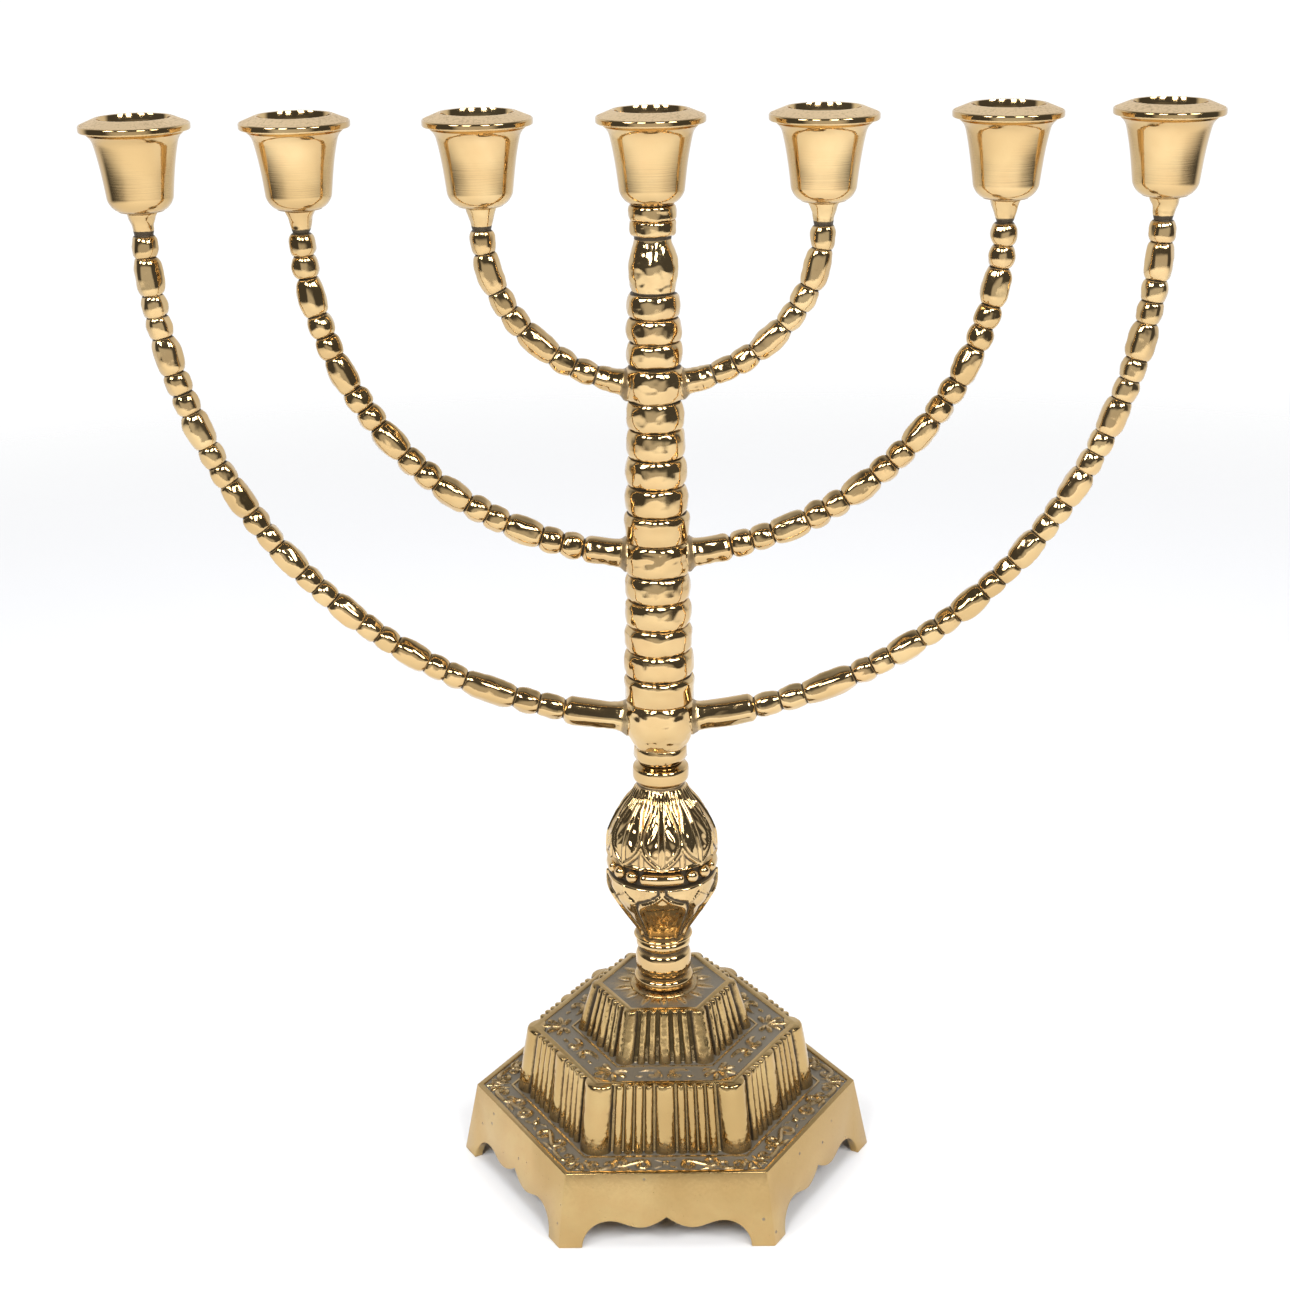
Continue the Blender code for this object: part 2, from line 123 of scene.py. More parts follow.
class FootSizes(bpy.types.PropertyGroup):
    """Sizes of the foot's cast relief."""

    rim_bevel: bpy.props.FloatProperty(
        name="Edge bevel", description="Width of the softened edges of the foot",
        default=0.0006, unit="LENGTH")
    reed_depth: bpy.props.FloatProperty(
        name="Reed depth", description="How far reeds and pilasters stand out of the tier walls",
        default=0.0021, unit="LENGTH")
    relief_height: bpy.props.FloatProperty(
        name="Relief height", description="Height of the scrolls above the sunk field",
        default=0.00120, unit="LENGTH")
    unevenness: bpy.props.FloatProperty(
        name="Unevenness", description="Depth of the waviness left by sand casting",
        default=0.00012, unit="LENGTH")


class BalusterSizes(bpy.types.PropertyGroup):
    """Sizes of the baluster's relief."""

    ridge_height: bpy.props.FloatProperty(
        name="Ridge height", description="Height of the raised leaf outlines",
        default=0.00075, unit="LENGTH")
    ridge_width: bpy.props.FloatProperty(
        name="Ridge width", description="Half width of the raised leaf outlines",
        default=0.00052, unit="LENGTH")
    bead_radius: bpy.props.FloatProperty(
        name="Bead radius", description="Radius of the beads in the belly's band",
        default=0.0022, unit="LENGTH")


class BranchSizes(bpy.types.PropertyGroup):
    """Sizes of the branches' beads and rings."""

    groove_depth: bpy.props.FloatProperty(
        name="Groove depth", description="Depth of the grooves between the stem's rings",
        default=0.0014, unit="LENGTH")
    short_bead: bpy.props.FloatProperty(
        name="Short bead", description="Length of a short bead on an arm",
        default=0.0065, unit="LENGTH")
    long_bead: bpy.props.FloatProperty(
        name="Long bead", description="Length of a long bead on an arm",
        default=0.0112, unit="LENGTH")
    unevenness: bpy.props.FloatProperty(
        name="Unevenness", description="Depth of the waviness left by hand polishing",
        default=0.00036, unit="LENGTH")


class CupSizes(bpy.types.PropertyGroup):
    """Sizes of the candle cups."""

    rim_edge: bpy.props.FloatProperty(
        name="Rim edge", description="Height of the cup's outer rim band",
        default=0.00195, unit="LENGTH")
    unevenness: bpy.props.FloatProperty(
        name="Unevenness", description="Depth of the waviness in the turned wall",
        default=0.00005, unit="LENGTH")


class Finish(bpy.types.PropertyGroup):
    """Colours of the metals."""

    brass: bpy.props.FloatVectorProperty(
        name="Brass", description="Colour of clean polished brass",
        default=(0.70, 0.515, 0.262), subtype="COLOR", size=3, min=0.0, max=1.0)
    warm: bpy.props.FloatVectorProperty(
        name="Warm brass", description="Pinker brass where the polish has worn through",
        default=(0.70, 0.48, 0.235), subtype="COLOR", size=3, min=0.0, max=1.0)
    # This colour is also painted shade low on the sides of the foot's relief strokes.
    patina: bpy.props.FloatVectorProperty(
        name="Patina", description="Dark grey-brown in grooves and sunk fields",
        default=(0.205, 0.180, 0.140), subtype="COLOR", size=3, min=0.0, max=1.0)
    tarnish: bpy.props.FloatVectorProperty(
        name="Tarnish", description="Dark brown in the grooves of the polished castings",
        default=(0.060, 0.042, 0.022), subtype="COLOR", size=3, min=0.0, max=1.0)
    filed: bpy.props.FloatVectorProperty(
        name="Filed brass", description="Browner brass of the foot",
        default=(0.545, 0.39, 0.174), subtype="COLOR", size=3, min=0.0, max=1.0)
    frosted: bpy.props.FloatVectorProperty(
        name="Frosted brass", description="Pale matte brass of the faces left as cast",
        default=(0.66, 0.52, 0.345), subtype="COLOR", size=3, min=0.0, max=1.0)
    steel: bpy.props.FloatVectorProperty(
        name="Steel", description="Colour of the plated steel fasteners",
        default=(0.42, 0.42, 0.43), subtype="COLOR", size=3, min=0.0, max=1.0)


class StageLook(bpy.types.PropertyGroup):
    """Floor and light."""

    floor: bpy.props.FloatVectorProperty(
        name="Floor", description="Colour of the pale floor",
        default=(0.90, 0.905, 0.92), subtype="COLOR", size=3, min=0.0, max=1.0)
    light_power: bpy.props.FloatProperty(
        name="Light power", description="Power of each softbox",
        default=10.0, unit="POWER")
    light_width: bpy.props.FloatProperty(
        name="Softbox width", description="Width of each softbox",
        default=0.40, unit="LENGTH")


GROUPS = {
    "menorah_foot": FootSizes,
    "menorah_baluster": BalusterSizes,
    "menorah_branches": BranchSizes,
    "menorah_cups": CupSizes,
    "menorah_finish": Finish,
    "menorah_stage": StageLook,
}


# ---------------------------------------------------------------- mesh tools

def ease(low, high, value):
    """0 below low, 1 above high, and a smooth step between them."""
    share = min(max((value - low) / (high - low), 0.0), 1.0)
    return share * share * (3.0 - 2.0 * share)


def smooth_outline(points, steps=6):
    """Points along a smooth curve through the given (radius, height) points."""
    full = [points[0]] + list(points) + [points[-1]]
    outline = []
    for before, start, end, after in zip(full, full[1:], full[2:], full[3:]):
        for step in range(steps):
            t = step / steps
            outline.append(tuple(
                0.5 * (2.0 * b + (c - a) * t + (2.0 * a - 5.0 * b + 4.0 * c - d) * t * t
                       + (3.0 * b - a - 3.0 * c + d) * t ** 3)
                for a, b, c, d in zip(before, start, end, after)))
    outline.append(points[-1])
    return outline


def bead(low, high, crest, groove, steps=12, power=2.4):
    """Outline of one rounded ring or bead from low to high, both ends included."""
    outline = []
    for step in range(steps + 1):
        share = -math.cos(math.pi * step / steps)
        swell = math.sqrt(max(1.0 - abs(share) ** power, 0.0))
        height = 0.5 * (low + high) + 0.5 * (high - low) * share
        outline.append((groove + (crest - groove) * swell, height))
    return outline


def rings(low, high, count, crests, depth, power=2.6):
    """Outline of count rings, with crests easing between two radii."""
    pitch = (high - low) / count
    outline = []
    for index in range(count):
        crest = crests[0] + (crests[1] - crests[0]) * index / max(count - 1, 1)
        outline += bead(low + index * pitch, low + (index + 1) * pitch, crest, crest - depth,
                        steps=14, power=power)
    return outline


def tidy(bm):
    """Merge doubles and turn every face outwards."""
    bmesh.ops.remove_doubles(bm, verts=bm.verts, dist=MERGE)
    bmesh.ops.dissolve_degenerate(bm, edges=bm.edges, dist=0.25 * MERGE)
    bmesh.ops.recalc_face_normals(bm, faces=bm.faces)
    bm.normal_update()
    return bm


def turned(outline, sides):
    """Spin an outline of (radius, height) points once round Z into a closed body."""
    bm = bmesh.new()
    points = [bm.verts.new((radius, 0.0, height)) for radius, height in outline]
    pairs = list(zip(points, points[1:]))
    if outline[0][0] > 0.0 or outline[-1][0] > 0.0:
        pairs.append((points[-1], points[0]))
    edges = [bm.edges.new(pair) for pair in pairs]
    bmesh.ops.spin(bm, geom=points + edges, cent=(0.0, 0.0, 0.0), axis=(0.0, 0.0, 1.0),
                   angle=2.0 * math.pi, steps=sides, use_merge=True)
    return tidy(bm)


def stain(bm, rule, name="patina"):
    """Write the patina and painted shade, or the mattness, of every point; rule takes the point and gives 0
    to 1.
    """
    layer = bm.verts.layers.float.get(name) or bm.verts.layers.float.new(name)
    for vert in bm.verts:
        vert[layer] = rule(vert.co)
    return bm


def waver(bm, depth, size, still=()):
    """Push the surface in and out by soft noise, as sand casting and hand polishing leave it.

    The heights in still are machined seats, which stay flat.
    """
    bm.normal_update()
    moves = []
    for vert in bm.verts:
        hold = min((ease(0.3, 2.0, abs(vert.co.z - height)) for height in still), default=1.0)
        moves.append(vert.normal * depth * hold * noise.noise(vert.co / size))
    for vert, move in zip(bm.verts, moves):
        vert.co += move
    return bm


def temporary_object(bm, name):
    """An object that only lives while a modifier or a curve is being applied."""
    mesh = bpy.data.meshes.new(name)
    bm.to_mesh(mesh)
    item = bpy.data.objects.new(name, mesh)
    bpy.context.scene.collection.objects.link(item)
    return item


def applied_bmesh(item):
    """The bmesh of an object with its modifiers, after which the object is removed."""
    graph = bpy.context.evaluated_depsgraph_get()
    mesh = bpy.data.meshes.new_from_object(item.evaluated_get(graph))
    bm = bmesh.new()
    bm.from_mesh(mesh)
    bpy.data.meshes.remove(mesh)
    bpy.data.objects.remove(item, do_unlink=True)
    return bm


def combined(bm, others, operation):
    """One body made from bm and the others by Boolean; the patina and painted shade follow the nearest
    point.
    """
    sources = []
    layer = bm.verts.layers.float.get("patina")
    for part in [bm] + list(others):
        own = part.verts.layers.float.get("patina")
        sources += [(vert.co.copy(), vert[own] if own else 0.0) for vert in part.verts]
    item = temporary_object(bm, "boolean_body")
    helpers = [temporary_object(other, "boolean_helper") for other in others]
    for helper in helpers:
        modifier = item.modifiers.new(helper.name, "BOOLEAN")
        modifier.operation = operation
        modifier.solver = "EXACT"
        modifier.object = helper
    made = applied_bmesh(item)
    for helper in helpers:
        bpy.data.objects.remove(helper, do_unlink=True)
    if layer:
        tree = kdtree.KDTree(len(sources))
        for index, (point, _) in enumerate(sources):
            tree.insert(point, index)
        tree.balance()
        stain(made, lambda point: sources[tree.find(point)[1]][1])
    return made


def merge_in(bm, other):
    """Add the shells of another bmesh to this one."""
    mesh = bpy.data.meshes.new("merged")
    other.to_mesh(mesh)
    other.free()
    bm.from_mesh(mesh)
    bpy.data.meshes.remove(mesh)
    return bm


def turned_copies(bm, count):
    """Repeat everything in bm so that count copies stand evenly round Z."""
    source = list(bm.verts) + list(bm.edges) + list(bm.faces)
    for index in range(1, count):
        copy = bmesh.ops.duplicate(bm, geom=source)["geom"]
        verts = [part for part in copy if isinstance(part, bmesh.types.BMVert)]
        bmesh.ops.rotate(bm, verts=verts, cent=(0.0, 0.0, 0.0),
                         matrix=Matrix.Rotation(2.0 * math.pi * index / count, 3, "Z"))
    return bm


def add_piece(name, bm, body, node, materials, sharp=42.0):
    """Finish a bmesh in millimetres as one piece that rides on a body and stands for a node.

    materials are the names of the piece's own metals.
    """
    bmesh.ops.scale(bm, vec=(MM, MM, MM), verts=bm.verts)
    mesh = bpy.data.meshes.new(name)
    bm.to_mesh(mesh)
    bm.free()
    for material in materials:
        mesh.materials.append(metal_named(material))
    mesh.shade_smooth()
    mesh.set_sharp_from_angle(angle=math.radians(sharp))
    piece = bpy.data.objects.new(name, mesh)
    bpy.context.scene.collection.objects.link(piece)
    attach(piece, body)
    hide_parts(node)
    return piece


# ---------------------------------------------------------------- materials

def add_node(material, kind, inputs=None, **settings):
    """Add a shader node, set its properties, and link or set its inputs."""
    tree = material.node_tree
    item = tree.nodes.new(kind)
    for name, value in settings.items():
        setattr(item, name, value)
    for name, value in (inputs or {}).items():
        socket = item.inputs[name]
        if isinstance(value, bpy.types.NodeSocket):
            tree.links.new(value, socket)
        else:
            socket.default_value = value
    return item


def math_node(material, operation, first, second=0.0, clamp=False):
    """A Math node's output."""
    item = add_node(material, "ShaderNodeMath", {0: first, 1: second}, operation=operation)
    item.use_clamp = clamp
    return item.outputs[0]


def mix_colour(material, factor, first, second):
    """A colour Mix node's output."""
    item = add_node(material, "ShaderNodeMix", data_type="RGBA")
    tree = material.node_tree
    tree.links.new(factor, item.inputs[0])
    for index, value in ((6, first), (7, second)):
        if isinstance(value, bpy.types.NodeSocket):
            tree.links.new(value, item.inputs[index])
        else:
            item.inputs[index].default_value = (*value, 1.0)
    return item.outputs[2]


def spread(material, value, low, high, to_low=0.0, to_high=1.0):
    """A Map Range node's output."""
    return add_node(material, "ShaderNodeMapRange",
                    {0: value, 1: low, 2: high, 3: to_low, 4: to_high}).outputs[0]


def new_material(name):
    """An empty material with its Principled shader."""
    material = bpy.data.materials.new(name)
    material.use_nodes = True
    return material, material.node_tree.nodes["Principled BSDF"]


def brass_material(name, smooth, grain, turning=0.0, pits=0.0, sand=0.0,
                   dirt_and_shade_colour="tarnish", metal="brass"):
    """Brass with tone changes, fine polishing marks, and patina with painted shade where the piece says so.

    smooth is the roughness of a clean spot, grain the strength of the polished-over casting
    skin, turning the strength of lathe marks round Z, pits the strength of small casting
    holes, sand the strength of the fine sand texture, dirt_and_shade_colour the colour of the
    grooves and of painted shade, and metal the colour of a clean spot.
    """
    finish = bpy.context.scene.menorah_finish
    material, shader = new_material(name)
    place = add_node(material, "ShaderNodeTexCoord").outputs["Object"]
    tone = add_node(material, "ShaderNodeTexNoise",
                    {"Vector": place, "Scale": 85.0, "Detail": 5.0, "Roughness": 0.6}).outputs["Fac"]
    fine = add_node(material, "ShaderNodeTexNoise",
                    {"Vector": place, "Scale": 950.0, "Detail": 4.0, "Roughness": 0.65}).outputs["Fac"]
    stretched = add_node(material, "ShaderNodeMapping",
                         {"Vector": place, "Scale": (60.0, 60.0, 3600.0)}).outputs["Vector"]
    marks = add_node(material, "ShaderNodeTexNoise",
                     {"Vector": stretched, "Scale": 1.0, "Detail": 2.0}).outputs["Fac"]
    # The patina attribute, which on the foot's relief also holds painted shade low on the strokes' sides.
    worn = add_node(material, "ShaderNodeAttribute", attribute_name="patina").outputs["Fac"]
    dull = add_node(material, "ShaderNodeAttribute", attribute_name="matte").outputs["Fac"]
    specks = math_node(material, "ADD", math_node(material, "MULTIPLY", dull, 0.9), 0.25 + 0.6 * sand)
    speck = math_node(material, "MULTIPLY", math_node(material, "SUBTRACT", fine, 0.5), specks)
    blotch = math_node(material, "MULTIPLY", math_node(material, "SUBTRACT", tone, 0.5), 0.5 + 0.9 * sand)
    dirt_and_shade = math_node(material, "ADD", worn, math_node(material, "ADD", speck, blotch))
    grime_and_shade = spread(material, dirt_and_shade, 0.28, 0.82)
    bare = tuple(getattr(finish, metal))
    worn_through = tuple(0.96 * warm * part / whole
                         for warm, part, whole in zip(finish.warm, bare, finish.brass))
    polished = mix_colour(material, spread(material, tone, 0.38, 0.66), bare, worn_through)
    clouds = add_node(material, "ShaderNodeTexNoise",
                      {"Vector": place, "Scale": 26.0, "Detail": 3.0, "Distortion": 0.6}).outputs["Fac"]
    deeper = tuple(shade * part for shade, part in zip((0.80, 0.74, 0.66), bare))
    toned = mix_colour(material, spread(material, clouds, 0.38, 0.64, 0.0, 0.9), polished, deeper)
    clean = mix_colour(material, math_node(material, "MULTIPLY", dull, 0.6), toned, tuple(finish.frosted))
    holes = add_node(material, "ShaderNodeTexVoronoi",
                     {"Vector": place, "Scale": 150.0}).outputs["Distance"]
    hole = math_node(material, "MULTIPLY", spread(material, holes, 0.10, 0.05), pits, clamp=True)
    dark = math_node(material, "MAXIMUM", grime_and_shade, hole)
    colour = mix_colour(material, dark, clean, tuple(getattr(finish, dirt_and_shade_colour)))
    material.node_tree.links.new(colour, shader.inputs["Base Color"])
    clean_rough = spread(material, fine, 0.3, 0.75, smooth * 0.75, smooth * 1.5)
    stained = math_node(material, "ADD", clean_rough, math_node(material, "MULTIPLY", dark, 0.42))
    rough = math_node(material, "ADD", stained, math_node(material, "MULTIPLY", dull, 0.42))
    material.node_tree.links.new(rough, shader.inputs["Roughness"])
    share = math_node(material, "SUBTRACT", spread(material, dark, 0.0, 1.0, 1.0, 0.45),
                      math_node(material, "MULTIPLY", dull, 0.45), clamp=True)
    material.node_tree.links.new(share, shader.inputs["Metallic"])
    skin = add_node(material, "ShaderNodeTexNoise",
                    {"Vector": place, "Scale": 420.0, "Detail": 1.0}).outputs["Fac"]
    texture = math_node(material, "MULTIPLY", skin, grain)
    sandy = math_node(material, "MULTIPLY", fine, math_node(material, "MULTIPLY", dark, sand))
    lathe = math_node(material, "MULTIPLY", marks, turning)
    skin_height = math_node(material, "ADD", math_node(material, "ADD", texture, lathe), sandy)
    height = math_node(material, "SUBTRACT", skin_height, hole)
    bump = add_node(material, "ShaderNodeBump",
                    {"Height": height, "Strength": 0.35, "Distance": 0.00012})
    material.node_tree.links.new(bump.outputs["Normal"], shader.inputs["Normal"])
    return material


def steel_material(name):
    """Dull plated steel with fine scratches."""
    finish = bpy.context.scene.menorah_finish
    material, shader = new_material(name)
    place = add_node(material, "ShaderNodeTexCoord").outputs["Object"]
    fine = add_node(material, "ShaderNodeTexNoise",
                    {"Vector": place, "Scale": 1400.0, "Detail": 3.0}).outputs["Fac"]
    broad = add_node(material, "ShaderNodeTexNoise",
                     {"Vector": place, "Scale": 220.0, "Detail": 4.0}).outputs["Fac"]
    dull = tuple(0.55 * part for part in finish.steel)
    colour = mix_colour(material, spread(material, broad, 0.4, 0.7), finish.steel, dull)
    material.node_tree.links.new(colour, shader.inputs["Base Color"])
    shader.inputs["Metallic"].default_value = 1.0
    material.node_tree.links.new(spread(material, fine, 0.3, 0.7, 0.28, 0.5), shader.inputs["Roughness"])
    bump = add_node(material, "ShaderNodeBump", {"Height": fine, "Strength": 0.2, "Distance": 0.0001})
    material.node_tree.links.new(bump.outputs["Normal"], shader.inputs["Normal"])
    return material


BRASSES = {
    # stem, branches and baluster, polished by hand over the casting skin
    "hand_polished_brass": {"smooth": 0.075, "grain": 0.5},
    # cups, polished on the lathe
    "lathe_turned_brass": {"smooth": 0.075, "grain": 0.12, "turning": 0.22},
    # decks and relief of the foot, nearly as cast
    "sand_cast_brass": {"smooth": 0.15, "grain": 1.3, "sand": 0.8, "dirt_and_shade_colour": "patina", "metal": "filed"},
    # reeds of the foot, rubbed bright over dark grooves
    "reeded_brass": {"smooth": 0.13, "grain": 3.0, "sand": 0.5, "metal": "filed"},
    # skirt, filed flat and polished, with casting pits
    "filed_brass": {"smooth": 0.2, "grain": 0.3, "pits": 0.85, "dirt_and_shade_colour": "patina", "metal": "filed"},
}


def metal_named(name):
    """The brass or steel of that name, made on first use."""
    known = bpy.data.materials.get(name)
    if known:
        return known
    return brass_material(name, **BRASSES[name]) if name in BRASSES else steel_material(name)


# ---------------------------------------------------------------- foot

def face_point(face, along, out, apothem):
    """A point of the plan at a distance along one side of a hexagon and out from it."""
    angle = math.radians(30.0 + 60.0 * face)
    outward = Vector((math.cos(angle), math.sin(angle)))
    sideways = Vector((-math.sin(angle), math.cos(angle)))
    return outward * (apothem + out) + sideways * along


def skirt_opening():
    """Half of the bracket-shaped opening under one side of the skirt, as (x, height) points."""
    foot_x, crown_x, lobe_x = 0.5 * FOOT_R - 7.6, 18.4, 8.4
    arch, lobe, cusp = 8.9, 6.6, 10.1
    steps = 12
    outline = [(foot_x, -1.0)]
    for step in range(steps + 1):
        angle = 0.5 * math.pi * step / steps
        outline.append((crown_x + (foot_x - crown_x) * math.cos(angle), arch * math.sin(angle)))
    for step in range(1, steps + 1):
        share = step / steps
        drop = 0.5 - 0.5 * math.cos(math.pi * share)
        outline.append((crown_x + (lobe_x - crown_x) * share, arch + (lobe - arch) * drop))
    for step in range(1, 7):
        share = step / 6
        outline.append((lobe_x * (1.0 - share), lobe + (cusp - lobe) * share ** 1.8))
    return outline


def skirt_cutter(turn):
    """A prism of the bracket shape that runs through two opposite sides of the skirt."""
    half = skirt_opening()
    outline = half + [(-x, z) for x, z in reversed(half[:-1])]
    bm = bmesh.new()
    reach = 1.2 * FOOT_R
    face = bm.faces.new([bm.verts.new((x, -reach, z)) for x, z in outline])
    extruded = bmesh.ops.extrude_face_region(bm, geom=[face])["geom"]
    moved = [part for part in extruded if isinstance(part, bmesh.types.BMVert)]
    bmesh.ops.translate(bm, verts=moved, vec=(0.0, 2.0 * reach, 0.0))
    bmesh.ops.rotate(bm, verts=bm.verts, cent=(0.0, 0.0, 0.0), matrix=Matrix.Rotation(turn, 3, "Z"))
    bmesh.ops.recalc_face_normals(bm, faces=bm.faces)
    return bm


def foot_shell(bevel):
    """The stepped hexagonal casting, hollow below, with its edges softened."""
    wall = WALL / FLAT
    rim = RIM_WIDTH / FLAT
    deck = 2.6
    fields = [SKIRT_Z - FIELD_DEPTH, MID_Z - FIELD_DEPTH, BASE_TOP_Z - FIELD_DEPTH]
    outside = [(0.7 * BOSS_R, fields[2]), (TOP_RIM_R - rim, fields[2]), (TOP_RIM_R - rim, BASE_TOP_Z),
               (TOP_RIM_R, BASE_TOP_Z), (TOP_FOOT_R, fields[1]),
               (MID_RIM_R - rim, fields[1]), (MID_RIM_R - rim, MID_Z),
               (MID_RIM_R, MID_Z), (MID_FOOT_R, fields[0]),
               (SKIRT_RIM_R - rim, fields[0]), (SKIRT_RIM_R - rim, SKIRT_Z),
               (SKIRT_RIM_R, SKIRT_Z), (FOOT_R, 0.0)]
    inside = [(FOOT_R - wall, 0.0), (SKIRT_RIM_R - wall, fields[0] - deck),
              (MID_FOOT_R - wall, fields[0] - deck), (MID_RIM_R - wall, fields[1] - deck),
              (TOP_FOOT_R - wall, fields[1] - deck), (TOP_RIM_R - wall, fields[2] - deck),
              (0.7 * BOSS_R, fields[2] - deck)]
    shell = turned(outside + inside, FACES)
    cutters = [skirt_cutter(math.radians(turn)) for turn in (0.0, 60.0, 120.0)]
    shell = combined(shell, cutters, "DIFFERENCE")
    for cutter in cutters:
        cutter.free()
    tidy(shell)
    bmesh.ops.dissolve_limit(shell, angle_limit=math.radians(0.6), verts=shell.verts, edges=shell.edges)
    sharp = [edge for edge in shell.edges
             if len(edge.link_faces) == 2 and edge.calc_face_angle(0.0) > math.radians(28.0)]
    bmesh.ops.bevel(shell, geom=sharp, offset=bevel, offset_type="OFFSET", affect="EDGES", segments=3,
                    profile=0.5, material=-1, clamp_overlap=True)
    bmesh.ops.triangulate(shell, faces=[face for face in shell.faces if len(face.verts) > 4])
    return shell


def raised(bm, low, high, low_z, high_z, rounding):
    """A closed upright ridge between two plan outlines of the same number of points."""
    bottom = bm.faces.new([bm.verts.new((point.x, point.y, low_z)) for point in low])
    starts = {tuple(vert.co): index for index, vert in enumerate(bottom.verts)}
    grown = bmesh.ops.extrude_face_region(bm, geom=[bottom])["geom"]
    tops = [part for part in grown if isinstance(part, bmesh.types.BMVert)]
    lids = [part for part in grown if isinstance(part, bmesh.types.BMFace)]
    for vert in tops:
        point = high[starts[tuple(vert.co)]]
        vert.co = (point.x, point.y, high_z)
    uprights = [edge for vert in tops for edge in vert.link_edges if edge.other_vert(vert) not in tops]
    bmesh.ops.subdivide_edges(bm, edges=uprights, cuts=9, use_grid_fill=True)
    bmesh.ops.bevel(bm, geom=list(lids[0].edges), offset=rounding, offset_type="OFFSET", affect="EDGES",
                    segments=2, profile=0.5, material=-1, clamp_overlap=True)


def reed_plan(along, width, depth, apothem, sink=1.2, steps=10):
    """Plan of one half-round reed on the first side of a hexagon."""
    points = []
    for step in range(steps + 1):
        share = -math.cos(math.pi * step / steps)
        swell = max(1.0 - abs(share) ** 2.6, 0.0) ** 0.5
        points.append(face_point(0, along + 0.5 * width * share, depth * swell - 0.05, apothem))
    points.append(face_point(0, along + 0.4 * width, -sink, apothem))
    points.append(face_point(0, along - 0.4 * width, -sink, apothem))
    return points


def corner_plan(round_r, inset, radius, scale=1.0, steps=18):
    """Plan of a round column that stands in the corner between the first two sides."""
    corner = face_point(0, 0.5 * radius, 0.0, radius * FLAT)
    outward = corner.normalized()
    centre = corner - outward * inset * scale
    reach = inset * FLAT
    end = math.radians(30.0) + math.acos(reach / round_r)
    points = []
    for step in range(steps + 1):
        angle = end * (2.0 * step / steps - 1.0)
        turned_out = Vector((outward.x * math.cos(angle) - outward.y * math.sin(angle),
                             outward.x * math.sin(angle) + outward.y * math.cos(angle)))
        points.append(centre + turned_out * round_r * scale)
    points.append(centre - outward * 0.2 * round_r + Vector((-outward.y, outward.x)) * 0.5 * round_r)
    points.append(centre - outward * 0.2 * round_r - Vector((-outward.y, outward.x)) * 0.5 * round_r)
    return points


def tier_reeds(foot_r, rim_r, low_z, high_z, column, centre_width, thin_width, thin_count, depth):
    """Pilasters and reeds of one tier, all six sides."""
    bm = bmesh.new()
    shrink = rim_r / foot_r
    round_r, inset = column
    raised(bm, corner_plan(round_r, inset, foot_r), corner_plan(round_r, inset, rim_r, scale=shrink),
           low_z, high_z, 0.7)
    corner_width = 0.5 * inset + math.sqrt(round_r ** 2 - (inset * FLAT) ** 2)
    places = [(0.0, centre_width, depth)]
    gap = 0.5 * foot_r - corner_width - 0.5 * centre_width
    pitch = gap / (thin_count + 0.25)
    for index in range(thin_count):
        along = 0.5 * centre_width + 0.125 * pitch + (index + 0.5) * pitch
        places += [(along, thin_width, 0.85 * depth), (-along, thin_width, 0.85 * depth)]
    for along, width, out in places:
        raised(bm, reed_plan(along, width, out, foot_r * FLAT),
               reed_plan(shrink * along, shrink * width, out, rim_r * FLAT), low_z, high_z, 0.3)
    bmesh.ops.recalc_face_normals(bm, faces=bm.faces)
    return turned_copies(bm, FACES)


def border(radius, height, width, field_z):
    """A thin raised hexagonal line on a deck."""
    half = 0.5 * width / FLAT
    outline = [(radius - half, field_z - 0.5), (radius - 0.7 * half, field_z + height),
               (radius + 0.7 * half, field_z + height), (radius + half, field_z - 0.5)]
    return turned(outline, FACES)


def curl(centre, outer, inner, start, turn, steps=9):
    """Points of a spiral from its outer end inwards, in degrees."""
    points = []
    for step in range(steps + 1):
        share = step / steps
        radius = outer + (inner - outer) * share
        angle = math.radians(start + turn * share)
        points.append((centre[0] + radius * math.cos(angle), centre[1] + radius * math.sin(angle)))
    return points


def swelling(points, thick, thin_start, thin_end, knob=0.0):
    """Gives each point of a stroke a thickness: thin at its ends, thick in the middle."""
    count = len(points) - 1
    stroke = []
    for index, point in enumerate(points):
        share = index / count
        body = math.sin(math.pi * min(max(share, 0.0), 1.0)) ** 0.6
        edge = thin_start + (thin_end - thin_start) * share
        size = edge + (thick - edge) * body
        if knob and index >= count - 1:
            size = knob
        stroke.append((point[0], point[1], size))
    return stroke


def mirrored(strokes):
    """The strokes and their mirror images across the middle of the side."""
    return strokes + [[(-u, v, size) for u, v, size in stroke] for stroke in strokes]


